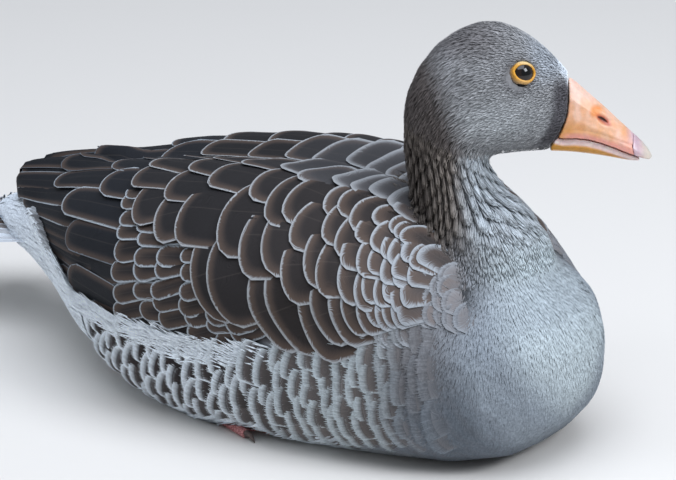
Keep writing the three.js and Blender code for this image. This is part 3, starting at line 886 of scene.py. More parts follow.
class Finish:
    """A material with a Principled shader, whose uniform values are set on its own sockets."""

    def __init__(self, name, **sockets):
        self.material = bpy.data.materials.new(name)
        self.material.use_nodes = True
        self.tree = self.material.node_tree
        self.tree.nodes.clear()
        uniform = {key.replace("_", " "): value for key, value in sockets.items()}
        self.shader = self.add("BsdfPrincipled", uniform)
        self.add("OutputMaterial", {"Surface": self.shader})

    def feed(self, made, inputs):
        """Gives a node's sockets, by name or in order, their values, colours, or the nodes that feed them."""
        for key, value in inputs.items() if isinstance(inputs, dict) else enumerate(inputs):
            if isinstance(value, bpy.types.Node):
                value = next(socket for socket in value.outputs if socket.enabled)
            if isinstance(value, bpy.types.NodeSocket):
                self.tree.links.new(value, made.inputs[key])
            else:
                made.inputs[key].default_value = (*linear(value), 1) if isinstance(value, str) else value
        return made

    def add(self, kind, inputs=(), **settings):
        """A new node with its settings and inputs."""
        made = self.tree.nodes.new("ShaderNode" + kind)
        for key, value in settings.items():
            setattr(made, key, value)
        return self.feed(made, inputs)

    def sized(self, size, **more):
        """The inputs of a texture whose features are about this many mm across."""
        return {"Vector": self.add("TexCoord").outputs["Object"], "Scale": 1 / (size * MM), **more}

    def tinted(self, pattern, low, high, start, end):
        """The piece's own tint, darker and lighter as the pattern goes from low to high."""
        tint = self.add("Attribute", attribute_name="tint").outputs["Color"]
        shade = self.add("MapRange", (pattern, low, high, start, end), **SMOOTH)
        return self.add("VectorMath", {0: tint, "Scale": shade}, operation="SCALE")

    def done(self, colour, height=None, strength=0.3, depth=0.3):
        """The material, with this colour and a bump whose full height is `depth` mm."""
        self.feed(self.shader, {"Base Color": colour})
        if height is not None:
            bump = self.add("Bump", {"Strength": strength, "Distance": depth * MM, "Height": height})
            self.feed(self.shader, {"Normal": bump})
        return self.material


def contour_feathers():
    """Small contour feathers and down: soft matt keratin barbs, finely mottled, with no gloss."""
    down = Finish("contour_feathers", Roughness=0.82, Specular_IOR_Level=0.12)
    mottle = down.add("TexNoise", down.sized(1.3, Detail=3.0))
    # Barbs are 0.1 mm apart and are drawn at 0.7 mm, so that the bump still shows.
    barbs = down.add("TexNoise", down.sized(0.7, Detail=1.0))
    return down.done(down.tinted(mottle, 0.3, 0.7, 0.86, 1.12), barbs, 0.25)


def vane_feathers():
    """Firm flight, tail and back feathers: brown keratin with a faint silky sheen, barbs that slant to
    the tip, a pale frayed fringe and a paler shaft."""
    vane = Finish("vane_feathers", Roughness=0.68, Specular_IOR_Level=0.16)
    add = vane.add
    axes = add("SeparateXYZ", [add("UVMap", uv_map="Vane").outputs["UV"]]).outputs
    across = add("Math", [add("Math", [axes[0], VANE_MAP], operation="MULTIPLY")], operation="ABSOLUTE")
    along = add("Math", [axes[1], VANE_MAP], operation="MULTIPLY")
    slant = add("Math", [across, -1.15, along], operation="MULTIPLY_ADD")
    own = add("Math", [add("TexNoise", vane.sized(14, Detail=0.0)), 40.0], operation="MULTIPLY")
    side = add("Math", [axes[0]], operation="SIGN")
    line = add("Math", [side, 50.0, add("Math", [slant, own], operation="ADD")], operation="MULTIPLY_ADD")
    comb = add("TexNoise", {"W": line, "Scale": 1.1, "Detail": 2.0}, noise_dimensions="1D")
    # Real barbs lie 0.4 mm apart and are drawn at about 0.9 mm to show.
    barbs = add("TexNoise", {"W": line, "Scale": 2.2, "Detail": 1.0}, noise_dimensions="1D")
    rim = add("Attribute", attribute_name="rim").outputs["Fac"]
    fringe = add("Attribute", attribute_name="fringe").outputs["Fac"]
    edge = add("Attribute", attribute_name="edge").outputs["Color"]
    # Broad fringes are downy, and fade into the blade.
    downy = add("MapRange", (fringe, 1.5, 2.2), **SMOOTH)
    uneven = add("Math", [add("Math", [comb, 0.5], operation="SUBTRACT"),
                          add("Math", [fringe, 2.4], operation="MULTIPLY")], operation="MULTIPLY")
    depth = add("Math", [rim, uneven], operation="ADD")
    share = add("Math", [depth, add("Math", [fringe, 0.01], operation="MAXIMUM")], operation="DIVIDE")
    first = add("Math", [downy, -0.35, 0.45], operation="MULTIPLY_ADD")
    last = add("Math", [downy, 0.7, 1.4], operation="MULTIPLY_ADD")
    pale = add("MapRange", (share, first, last, 1.0, 0.0), **SMOOTH)
    inside = add("Math", [rim, fringe], operation="SUBTRACT")
    lighter = add("MapRange", (inside, 0.0, 6.0, 1.3, 0.86), **SMOOTH)
    grain = add("MapRange", (barbs, 0.3, 0.7, 0.84, 1.16), **SMOOTH)
    tint = add("Attribute", attribute_name="tint").outputs["Color"]
    shade = add("Math", [lighter, grain], operation="MULTIPLY")
    inner = add("VectorMath", {0: tint, "Scale": shade}, operation="SCALE")
    band = add("Math", [add("MapRange", (inside, 0.2, 5.0, 0.5, 0.0), **SMOOTH),
                        add("Math", [downy, -0.8, 1.0], operation="MULTIPLY_ADD")], operation="MULTIPLY")
    inner = add("Mix", {SHARE: band, UNDER: inner, OVER: COLOURS["warm"]}, **COLOURED)
    worn = add("MapRange", (barbs, 0.2, 0.8, 0.8, 1.15), **SMOOTH)
    outer = add("VectorMath", {0: edge, "Scale": worn}, operation="SCALE")
    colour = add("Mix", {SHARE: pale, UNDER: inner, OVER: outer}, **COLOURED)
    shaft = add("MapRange", (across, 0.15, 0.5, 0.06, 0.0), **SMOOTH)
    colour = add("Mix", {SHARE: shaft, UNDER: colour, OVER: "#8d8178"}, **COLOURED)
    ridges = add("Math", [barbs, add("Math", [shaft, 1.5], operation="MULTIPLY")], operation="ADD")
    return vane.done(colour, ridges, 0.35)


# ---- Skin -----------------------------------------------------------------------------------------

WINGS = ["wing_right", "wing_left"]
LONG_BLADES = ["wingtip_right", "wingtip_left"]
LIMBS = ["shank_right", "foot_right", "shank_left", "foot_left"]


def coat_depth(points):
    """How far the skin lies under the outline at each place, in mm."""
    x = points[:, 0] / MM
    along, _, up = head_frame(points)
    head = step(up + 0.45 * along, 160, 182)
    neck = step(up, 100, 134) * step(x, 20, 40)
    edge = wing_edge(x) + 5 * step(x, -150, -190)
    wing = step(body_angle(points), edge - 1, edge - 8) * step(x, 70, 55)
    under_wing = COAT["wing"] + 2.0 * step(x, -140, -170)
    depth = COAT["body"] - 1.1 * step(x, 55, 85) * (1 - wing) + (under_wing - COAT["body"]) * wing
    depth = depth * (1 - neck) + COAT["neck"] * neck
    return depth * (1 - head) + COAT["head"] * head + 3.5 * crease(points)


def under_blades(points):
    """The points, with those under the folded wing's rear drawn in so that the long blades cover them."""
    x = points[:, 0]
    off = points[:, 1:] - [0, AXIS_HEIGHT]
    degrees = body_angle(points)
    place, _ = body.at(x, np.radians(degrees))
    reach = np.hypot(place[:, 1], place[:, 2] - AXIS_HEIGHT) - 6 * MM
    edge = wing_edge(x / MM)
    share = step(x / MM, -105, -135) * step(degrees, edge + 2, edge - 5)
    pull = 1 - share * np.clip(1 - reach / np.maximum(np.hypot(*off.T), 1e-6), 0, 1)
    return np.column_stack([x, off * pull[:, None] + [0, AXIS_HEIGHT]])


def skin_piece():
    """One skin for all flesh: the outline moved in by the coat's depth, and furrowed on the neck."""
    mesh = outline.data.copy()
    points = vertices_of(mesh)
    ridge, strength, _ = furrow(points)
    sunk = (coat_depth(points) + 1.2 * (1 - ridge) * strength) * MM
    place_vertices(mesh, points - normals_of(mesh) * sunk[:, None])
    mesh.update()
    made = object_of("skin", mesh)
    smooth = made.modifiers.new("smooth", "SMOOTH")
    smooth.iterations = 2
    mesh = applied(made).data
    place_vertices(mesh, np.maximum(under_blades(vertices_of(mesh)), [-FAR, -FAR, SKIN_GROUND]))
    store(mesh, "tint", plumage(vertices_of(mesh)))
    mesh.shade_smooth()
    return finished(made, small, "grey_feathers", "head", "neck", "trunk", *WINGS, "tail", *LONG_BLADES)


def outline_of(name, nodes):
    """One smooth surface round these nodes, out to the tips of their feathers."""
    made = keep_largest(remeshed(copy_of(name, nodes, 0.4), 2.2, 3))
    made.data.shade_smooth()
    return made


studio()
outline = outline_of("outline", ["head", "neck", "trunk", *WINGS])
surface = Surface(outline.data)
torso = outline_of("torso", ["trunk", *WINGS, *LONG_BLADES])
body = BodyMap(Surface(torso.data))
bpy.data.objects.remove(torso)
small = contour_feathers()
vanes = vane_feathers()
skin = skin_piece()


# ---- Plumage --------------------------------------------------------------------------------------


def strewn(share, spacing, sway, way=None):
    """Roots where share(points) is above 0, the surface's normals there, and the ways that their
    feathers lie: as the coat does or in one way, each turned a little at random."""
    roots, normals = surface.scatter(share, spacing)
    way = lie(roots, normals) if way is None else unit(flattened(np.broadcast_to(way, roots.shape), normals))
    turned = unit(way + np.cross(normals, way) * rng.normal(0, sway, (len(roots), 1)))
    return roots, normals, turned


def neck_share(points):
    """Above 0 where the neck's own long locks grow."""
    along, _, _ = head_frame(points)
    x, y, up = in_mm(points)
    on = (up > ridge_foot(points) - 4) & (up + 0.45 * along < 172) & (0.45 * (x - 82) + up - 116 > -5)
    on &= np.abs(y) < 40 + 0.6 * np.maximum(x - 84, 0)
    return (on & (x > 20)).astype(float)


def head_share(points):
    along, across, up = head_frame(points)
    on = (up + 0.45 * along > 168) & (along < np.interp(up, *BILL_BORDER) - 0.4)
    eye = np.hypot(along - 37.7, up - 206.2)
    on &= (eye > 6.9) | (np.abs(across) < 8)
    return np.where(on, 1 + 0.25 * step(along, 45, 58) + 0.2 * step(eye, 12, 8), 0)


def head_coat():
    roots, normals, way = strewn(head_share, 1.12, 0.16)
    along, _, _ = head_frame(roots)
    behind = step(along, 30, -5)
    length = (2.3 + 2.6 * behind) * rng.uniform(0.8, 1.2, len(roots))
    rise = 0.12 + 0.6 * behind * rng.uniform(0, 1, len(roots))
    tuft = Tuft((0, 0.5), (0.7, 1.0), 0.3)
    tuft.grow("coat_head", roots, normals, way, (length, 0.8, 0.5, rise), head_colour(roots), "grey_feathers",
              (0.74, 1.18), 0.18, 0.35)


def neck_coat():
    """Pointed locks in ridges: the tufts of one lock run together at its tip."""
    roots, normals = surface.scatter(neck_share, 1.27)
    ridge, strength, phase = furrow(roots)
    crest = np.round(phase)
    up = roots[:, 2] / MM
    aside = neck_front(roots)
    # Each tuft runs to the tip of its lock, and the locks of neighbouring ridges are staggered.
    start = (crest * 0.618 % 1) * LOCK
    goal = np.floor((up - start) / LOCK) * LOCK + start - 4.5
    low = step(up, 136, 114) * step(aside, 120, 80)
    drop = (up - goal) * (1 - low) + rng.uniform(5, 9, len(roots)) * low
    x, y = off_neck_line(roots)
    turn = unit(np.stack([-y, x, 0 * up], -1))
    gap = (crest - phase) / FURROWS * FULL_TURN * np.hypot(x, y)
    move = lie(roots, normals) * drop[:, None] + turn * (gap * 0.7 * strength * (1 - low))[:, None]
    move = flattened(move + rng.normal(0, 0.6, move.shape), normals)
    length = np.linalg.norm(move, axis=1)
    firm = strength * (1 - low) * (1 - 0.6 * step(aside, 90, 40))
    rise = 0.2 - 0.08 * low + 0.9 * ridge * firm
    deep = 1.2 + 1.2 * (1 - ridge) * firm
    own = neck_colour(roots + move * (0.5 * MM))
    tint = painted(own, (body_colour(roots), step(up, 136, 114) * step(aside, 120, 75)))
    plain = np.maximum(0.7 * step(aside, 95, 50), step(up, 130, 110))[:, None]
    tone = (0.55 + 0.4 * plain, 1.3 - 0.16 * plain)
    tuft = Tuft((0, 0.35, 0.7), (0.6, 1.0, 0.7), 0.35)
    sizes = (length, 1.25 + 0.25 * low, deep, rise)
    tuft.grow("coat_neck", roots, normals, move / length[:, None], sizes, tint, "grey_feathers", tone, 0.1)


def breast_share(points):
    x, _, up = in_mm(points)
    angle = body_angle(points)
    on = (neck_share(points) == 0) & (up < 125) & (x > 52) & ((angle > 44) | (x > 92))
    start = 84 + 10 * step(angle, 78, 60)
    thin = np.maximum(step(x, start - 4, start + 4), step(angle, 120, 126))
    dense = thin * (1 + 0.5 * step(up, 70, 40) * step(x, 95, 115))
    return np.where(on & ((angle < 150) | (x > 96)), dense, 0.0)


def breast_coat():
    roots, normals, way = strewn(breast_share, 1.19, 0.09)
    length = rng.uniform(5, 8.5, len(roots))
    tuft = Tuft((0, 0.5), (1.0, 1.0), 0.15)
    tuft.grow("coat_breast", roots, normals, way, (length, 1.2, 1.1, 0.12), plumage(roots), "breast_feathers",
              (0.96, 1.04), 0.035, 0.1)


def belly_share(points):
    angle = body_angle(points)
    x = points[:, 0] / MM
    low = (angle > 122) & (x < 60) | (angle >= 148) & (x <= 98)
    return np.where(low & (x > -250), 1.0, 0.0)


def belly_coat():
    roots, normals, way = strewn(belly_share, 4.2, 0.15)
    length = rng.uniform(15, 20, len(roots))
    tuft = Tuft((0, 0.5), (0.8, 1.0), 0.2)
    tuft.grow("coat_belly", roots, normals, way, (length, 3.6, 1.9, 0.2), plumage(roots), "breast_feathers",
              (0.85, 1.05), 0.05, 0.15)


def rear_share(points):
    x = points[:, 0] / MM
    angle = body_angle(points)
    on = (x < -146) & (angle < 128) & ((angle > wing_edge(x) - 2) | (x < -228))
    return np.where(on, 1.0, 0.0)


def rear_coat():
    """The rump and the white feathers over and under the tail, in long soft locks."""
    roots, normals, way = strewn(rear_share, 1.9, 0.12, [-1.0, 0, 0.05])
    length = rng.uniform(11, 16, len(roots))
    tuft = Tuft((0, 0.35, 0.7), (0.8, 1.0, 0.7), 0.25)
    tuft.grow("coat_rear", roots, normals, way, (length, 2.1, 1.6, 0.4), plumage(roots), "breast_feathers",
              (0.97, 1.05), 0.035, 0.1)


def edge_share(points):
    x = points[:, 0] / MM
    beside = np.abs(body_angle(points) - wing_edge(x) - 3) < np.interp(x, [-145, -20, 50], [4.5, 4, 2])
    return np.where(beside & (x > -168), step(x, 24, -30), 0.0)


def flank_edge():
    """White hair-like barbs along the flank's upper edge, over the wing's lower border."""
    roots, normals, way = strewn(edge_share, 1.1, 0.16, [-1.0, 0, 0.42])
    length = rng.uniform(8, 14, len(roots))
    tuft = Tuft((0, 0.35, 0.7), (0.8, 1.0, 0.7), 0.25)
    tuft.grow("coat_flank_edge", roots, normals, way, (length, 1.1, 1.5, 1.4), TINT["flank_white"],
              "breast_feathers", (0.98, 1.06), 0.05, 0.1)


def on_torso(x, degrees):
    """The places on the torso at these stations, in mm, and angles."""
    return body.at(x * MM, np.radians(degrees))[0]


def line_of(corners, spacing, shift):
    """Places this many mm apart along a line of (station in mm, angle in degrees) corners over the torso. The
    first lies `shift` spaces along it."""
    ends = np.array(corners, float)
    t = np.linspace(0, len(ends) - 1, 240)
    x, degrees = (np.interp(t, range(len(ends)), values) for values in ends.T)
    steps = np.linalg.norm(np.diff(on_torso(x, degrees), axis=0), axis=1)
    run = np.append(0, np.cumsum(steps)) / MM
    stops = np.arange(shift * spacing, run[-1], spacing)
    return np.interp(stops, run, x), np.interp(stops, run, degrees)


def shoulder_blades(blades):
    """Small soft brownish feathers from the neck's side down to the flank."""
    for k, station in enumerate(np.arange(96, 60, -3.8)):
        top = np.interp(station, [60, 80, 101], [34, 42, 56])
        line = [(station, top), (station + 3, wing_edge(station) + 4)]
        x, angle = line_of(line, 9.5, 0.1 + 0.5 * (k % 2))
        clear = crease(on_torso(x + 4, angle)) < 0.35
        x, angle = x[clear], angle[clear]
        count = len(x)
        front = step(x, 62, 97)
        tip = on_torso(x, angle)
        # Blades by the crease are darkened: painted shade in the groove between neck and shoulder.
        crease_shade = 1 - 0.7 * crease(tip)[:, None]
        bare = body_colour(tip)
        tint = painted("shoulder", (0.85 * bare, 0.35 + 0.5 * front)) * crease_shade
        edge = painted("shoulder_edge", (1.05 * bare, 0.85 * front)) * crease_shade
        blades.add(near(x, 1.5, count), angle, length=21 * near(1, 0.1, count),
                   width=15 * near(1, 0.15, count), heading=near(16, 10, count), low=-2.2,
                   high=rng.uniform(0.2, 0.9, count), roll=0.4, fringe=1.9 * near(1, 0.2, count),
                   tint=tint * near(1, 0.15, count)[:, None], edge=edge)


# Where the tips of each column of shoulder and back feathers lie, along the body at 45 degrees.
COLUMNS = [70, 66, 62, 57.5, 52.5, 46.5, 39, 30, 19, 7, -6, -22, -42, -66, -93, -124]


def neck_edge(degrees):
    """How far forward, in mm, feathers reach beside the neck at each angle from the middle of the back."""
    return np.interp(degrees, [0, 10, 20, 30, 40, 50], [26, 34, 44, 58, 82, 105])


def back_blades(blades):
    for k, (station, behind) in enumerate(zip(COLUMNS, COLUMNS[1:] + [COLUMNS[-1] - 28])):
        step_back = max(station - behind, 7)
        limit = np.interp(station, [-124, -93, -60, -40, 0, 40, 70, 90], [58, 66, 79, 80, 85, 77, 68, 64])
        rows = 4 if station < 3 else 5 if station < 35 else 7 if station < 50 else 8
        gap = limit / rows
        angle = near((np.arange(rows) + 0.55 + 0.16 * (k % 2)) * gap, 0.1 * gap, rows)
        sweep = np.interp(station, [25, 66], [26, 7])
        hook = sweep * np.clip((angle - (limit - 26)) / 26, 0, 1) ** 2
        x = near(station + hook, 0.22 * step_back, rows)
        keep = x < neck_edge(angle)
        x, angle = x[keep], angle[keep]
        count = len(x)
        width = math.radians(gap) * body.per_turn(x * MM, np.radians(angle)) / MM * 1.42
        heading = near(26 * step(angle, 25, limit) - 2, 5, count)
        tone = np.interp(x, [-90, -30, 30, 70], [0, 0.35, 0.9, 1.0])
        top = step(angle, 26, 6) * step(x, -90, -10)
        front = 0.5 * step(x, 62, 88)
        bare = body_colour(on_torso(x, angle))
        tint = painted("wing", ("back", tone), ("shoulder", 0.25 * step(x, 30, 85)), ("rump", 0.35 * top))
        tint = painted(tint * near(1, 0.14, count)[:, None], (0.8 * bare, front))
        edge = painted("fringe_white", ("fringe", 0.35), ("shoulder_edge", step(x, 20, 70)), (bare, front))
        fringe = np.interp(x, [-90, 0, 50, 90], [1.0, 1.15, 1.3, 1.9]) + 1.2 * top
        fringe = fringe * near(1, 0.2, count)
        blades.add(x, angle, length=(1.5 * step_back + 22) * near(1, 0.06, count),
                   width=width * near(1, 0.1, count), heading=heading, low=-2.0,
                   high=rng.uniform(0.9, 1.4, count), roll=1.0, fringe=fringe, tint=tint, edge=edge)


def covert_blades(blades):
    """Wing coverts under the shoulder feathers, with the greater coverts last."""
    rows = [
        ([(-20, 76), (-14, 94)], 11, 26),
        ([(-36, 72), (-30, 94)], 11.5, 28),
        ([(-52, 68), (-46, 94)], 12, 30),
        ([(-72, 62), (-64, 94)], 12.5, 32),
        ([(-98, 56), (-84, 72), (-78, 94)], 13.5, 34),
        ([(-126, 46), (-104, 70), (-98, 96)], 15, 40),
    ]
    for k, (corners, width, length) in enumerate(rows):
        x, angle = line_of(corners, 0.78 * width, 0.5 * (k % 2))
        count = len(x)
        heading = near(18, 9, count)
        tint = painted("wing", ("back", 0.2)) * near(1, 0.12, count)[:, None]
        blades.add(near(x, 2.3, count), near(angle, 1.3, count), length=length,
                   width=width * near(1, 0.2, count), heading=heading, low=-3.2, high=near(0, 0.2, count),
                   roll=0.6, fringe=1.05 * near(1, 0.2, count), tint=tint, edge="fringe_white")


def tertial_blades(blades):
    """The long feathers that cover the folded wing's rear."""
    rows = [  # x, angle, width, length, heading, fringe, height
        (-250, 3, 28, 95, 0, 0.4, -3.0),
        (-250, 22, 28, 95, 0, 0.4, -2.6),
        (-246, 40, 28, 95, 0, 0.4, -2.4),
        (-236, 56, 28, 95, 0, 0.4, -2.6),
        (-214, 68, 26, 114, 0, 0.4, -3.0),
        (-194, 78, 26, 102, 0, 0.4, -3.2),
        (-259, 12, 22, 100, -3, 0.5, -1.4),
        (-258, 31, 25, 105, -2, 0.8, -1.0),
        (-252, 49, 25, 105, -1, 1.3, -0.8),
        (-236, 64, 20, 95, 0, 0.9, -1.2),
        (-220, 74, 16, 85, 1, 0.6, -1.8),
        (-206, 79, 14, 80, 2, 0.45, -2.2),
        (-192, 84, 13, 72, 3, 0.45, -2.4),
        (-178, 89, 13, 64, 3, 0.45, -2.6),
        (-166, 92, 15, 60, 3, 0.5, -1.8),
        (-154, 95, 16, 60, 4, 0.6, -1.6),
        (-141, 97, 16, 56, 4, 0.6, -1.4),
        (-128, 98, 16, 52, 4, 0.6, -1.2),
        (-206, 5, 26, 90, 0, 0.5, -0.6),
        (-212, 22, 28, 95, 1, 0.5, -0.4),
        (-206, 41, 28, 95, 1, 0.9, -0.3),
        (-176, 57, 29, 90, 0, 1.2, 0.3),
        (-150, 88, 25, 60, -5, 0.7, -1.2),
        (-158, 72, 24, 70, 2, 0.6, -0.9),
        (-152, 8, 34, 80, 0, 0.8, 0.2),
        (-160, 27, 36, 90, 2, 0.8, 0.5),
        (-148, 45, 34, 85, 3, 0.9, 0.8),
    ]
    x, angle, width, length, heading, fringe, height = np.array(rows, float).T
    tint = TINT["quill"] * near(1, 0.15, len(rows))[:, None]
    edge = painted("fringe_dim", ("fringe_white", step(fringe, 0.5, 1.0)))
    blades.add(x, angle, length=length, width=width, heading=heading, low=-3.5, high=height, roll=0.5,
               fringe=fringe, tint=tint, edge=edge)


def flank_blades(blades):
    """Flank feathers in columns: a broad white hairy tip and a dark bar before it."""
    for k, station in enumerate(96 - np.cumsum(np.linspace(7.0, 12.5, 24))):
        end = np.interp(station, [-146, -100, 40, 92], [110, 128, 130, 122])
        gap = np.interp(station, [-100, 0, 60], [14.5, 13, 11.5])
        x, angle = line_of([(station, wing_edge(station) + 1), (station + 5, end)], gap, 0.1 + 0.45 * (k % 2))
        count = len(x)
        front = step(x, -70, 45)
        low = step(angle, 108, 126)
        bare = body_colour(on_torso(x, angle))
        tint = painted("flank_bar", (0.8 * TINT["shoulder"], front), (bare, 0.85 * step(x, 58, 88)),
                       ("shoulder", 0.45 * low))
        edge = painted("flank_white", ("breast_high", 0.85 * front), (1.15 * bare, 0.95 * step(x, 50, 86)))
        heading = near(np.interp(x, [-130, 30, 80], [-24, -12, 2]) + 12 * low, 7, count)
        fringe = np.interp(x, [-130, 0, 90], [2.3, 2.4, 2.3]) * near(1, 0.2, count)
        width = np.interp(x, [-100, 0, 80], [25, 22, 17]) * near(1, 0.15, count)
        blades.add(near(x, 2, count), angle, length=30, width=width, heading=heading, low=-3.0,
                   high=rng.uniform(0.0, 1.1, count), roll=0.4, fringe=fringe,
                   tint=tint * near(1, 0.18, count)[:, None], edge=edge)


def tail_blades(blades):
    """Half the tail's fan: the middle pair on top, darker, and the outer ones whiter."""
    k = np.arange(8)
    out = (k + 0.35) / 8
    tint = painted("tail", ("covert_white", step(out, 0.45, 0.75)))
    blades.add(-306 + 15 * out**2, 37 * out, length=92, width=21, heading=1 + 10 * out, low=-0.8 - 0.35 * k,
               high=-0.2 - 0.35 * k, roll=0, fringe=0.6, tint=tint, edge="covert_white")


flank_edge()
head_coat()
neck_coat()
breast_coat()
belly_coat()
rear_coat()
wide = Vane(11, 12)
long_blade = Vane(9, 14, roundness=0.85, full=0.25)
blunt = Vane(13, 12, roundness=0.58)
barred = Vane(13, 12, roundness=0.3, sides=5.0)
fan = remeshed(copy_of("fan", ["tail"], 0.1), 1.2, 1)
tail_plan = PlanMap(Surface(fan.data), (-0.312, -0.06), (-0.19, 0.06))
bpy.data.objects.remove(fan)
TRACTS = (  # at the end, in mm: camber, thickness, and the loose barbs' number, start and reach
    ("shoulder", shoulder_blades, body, wide, "breast_feathers", 0.5, 0.3, (26, 2.0, 0.8)),
    ("back", back_blades, body, blunt, "wing_feathers", 0.5, 0.3, None),
    ("coverts", covert_blades, body, wide, "wing_feathers", 0.5, 0.3, None),
    ("tertials", tertial_blades, body, long_blade, "wing_feathers", 0.5, 0.3, None),
    ("flank", flank_blades, body, barred, "breast_feathers", 0.5, 0.3, (42, 4.6, 2.2)),
    ("tail", tail_blades, tail_plan, long_blade, "tail_feathers", 0.6, 0.5, None),
)
for side_name, side in SIDES.items():
    for part, fill, ground, vane, slot, camber, thick, hairs in TRACTS:
        blades = Blades()
        fill(blades)
        blades.grow(f"{part}_{side_name}", ground, vane, side, slot, camber, thick, hairs)


# ---- Bill -----------------------------------------------------------------------------------------

# The line where the halves of the bill meet, as places along the head and heights in mm.
GAPE = [(48, 172.2), (56, 171.2), (61, 169.8), (68, 169.9), (74, 169.2), (81, 167.2), (89, 164.0),
        (97, 160.4), (104, 157.6), (114, 154.0)]
NAIL_LINE = [(99.4, 180), (99.4, 168), (98.6, 163.5), (99.6, 159), (102.5, 156.5), (102.5, 140)]
NOSTRIL = (83.0, 178.6)
NOSTRIL_SLOPE = 0.62


def prism(name, outline):
    """A solid with this outline in the head's middle plane, far wider than the bill."""
    work = bmesh.new()
    face = work.faces.new([work.verts.new(from_head(along, -30, height)) for along, height in outline])
    grown = bmesh.ops.extrude_face_region(work, geom=[face])
    moved = [v for v in grown["geom"] if isinstance(v, bmesh.types.BMVert)]
    bmesh.ops.translate(work, verts=moved, vec=Vector(from_head(0, 30, 0) - from_head(0, -30, 0)))
    bmesh.ops.recalc_face_normals(work, faces=work.faces)
    return object_of(name, mesh_of(name, work))


def cut(name, whole, *cutters):
    """A copy of the solid, kept only where it lies in every cutter."""
    made = object_of(name, whole.data.copy())
    for cutter in cutters:
        keep = made.modifiers.new("cut", "BOOLEAN")
        keep.operation = "INTERSECT"
        keep.solver = "EXACT"
        keep.object = cutter
        applied(made)
    return made


def over_gape(along, up):
    return up - np.interp(along, *zip(*GAPE))


def off_nostril(along, up):
    """How far along and across the nostril's slit places are, in mm."""
    c, s = math.cos(NOSTRIL_SLOPE), math.sin(NOSTRIL_SLOPE)
    x, z = along - NOSTRIL[0], up - NOSTRIL[1]
    return x * c - z * s, x * s + z * c


def upper_bill(points):
    """Its colours, peach, yellower behind and pinker along the cutting edge and towards the tip, and how
    far its surface is moved out, in mm."""
    along, across, up = head_frame(points)
    above = over_gape(along, up)
    patches = ripple(np.stack([along, up * 1.3, 0 * up], -1), 7, 21)
    u, v = off_nostril(along, up)
    tint = painted(
        "#efb287",
        ("#f3cfb9", 0.55 * step(patches, -0.6, 0.9)),
        ("#f3d2c4", 0.7 * step(above, 15, 27) * step(along, 60, 68)),
        ("#e79d4b", 0.75 * step(along, 74, 60) * step(above, 15, 3)),
        ("#e79d4b", 0.5 * (1 - step(np.abs(above - 5), 0, 5)) * step(along, 92, 78)),
        ("#e8998c", 0.8 * step(above, 4.0, 1.2) * step(along, 58, 66)),
        ("#e9a08f", 0.6 * step(along, 84, 98) * step(above, 12, 4)),
        ("#ee8a20", 0.9 * step(np.hypot(along - 78.5, (up - 183.2) * 1.1), 4.6, 1.5)),
        ("#eea04c", 0.55 * step(np.hypot(along - 95.5, up - 171.0), 5, 1.5)),
        ("#d9bccb", 0.8 * step(along, 93, 100) * step(above, 4, 9)),
        ("#c8503a", 0.75 * step(np.hypot(u / 5.6, v / 1.9), 1.15, 0.6)),
        # The nostril's opening is painted near black: painted shade in a hole that the surface only dents.
        ("#2a0f0c", step(np.hypot((u + 0.9) / 3.3, v / 1.05), 1.1, 0.6)),
    )
    slit = -1.3 * np.exp(-((u / 3.4) ** 2) - v**2)
    rim = 0.5 * np.exp(-(((u + 1) / 4.5) ** 2) - ((v - 2.6) / 1.1) ** 2)
    groove = -0.22 * np.exp(-(((above - 4.6) / 0.8) ** 2)) * step(along, 60, 70)
    return tint * [0.76, 0.77, 0.79], (slit + rim + groove) * (np.abs(across) > 2)


def lower_bill(points):
    """Its colours, and small ribs across its rim: the halves' toothed edges."""
    along, _, up = head_frame(points)
    below = -over_gape(along, up)
    tint = painted(
        "#cf9138",
        ("#dcc2bd", step(below, 5.2, 3.4)),
        ("#c8763c", 0.5 * step(along, 80, 96) * step(below, 3, 6)),
        ("#e7dcd2", 0.6 * step(ripple(points, 5 * MM, 8), 0.1, 0.9) * step(below, 4.5, 3)),
    )
    ribs = 0.5 + 0.5 * np.sin(FULL_TURN * along / 1.6)
    return tint, -0.25 * ribs * step(below, 2.6, 1.2)


def bill_nail(points):
    """Its colours, and how far its horn stands over the bill."""
    along, _, up = head_frame(points)
    tint = painted(
        "#d8bccb",
        ("#e6ddd3", step(along, 101, 107)),
        ("#e9c9bd", 0.7 * step(up, 160, 156.5) * step(along, 108, 102)),
    )
    return tint * [0.7, 0.67, 0.63], 0.15 * step(along, 99.5, 101.5)


def tucked(points):
    """The points of the lower half, narrowed so that it closes inside the upper one."""
    along, across, up = head_frame(points)
    inward = 1 - 0.10 * step(over_gape(along, up), -6, 0) * step(along, 56, 62)
    return np.array([from_head(*place) for place in zip(along, across * inward, up)])


def horn_finish(name, rough, coat, pore):
    """Living horn of a bill: waxy and slightly translucent, mottled in soft patches, with fine pores."""
    horn = Finish(name, Roughness=rough, Specular_IOR_Level=0.45, Coat_Weight=coat, Coat_Roughness=0.25,
                  Subsurface_Weight=0.12, Subsurface_Scale=0.002)
    patches = horn.add("TexNoise", horn.sized(2.2, Detail=3.0))
    pores = horn.add("TexNoise", horn.sized(pore, Detail=2.0))
    return horn.done(horn.tinted(patches, 0.3, 0.7, 0.93, 1.07), pores)


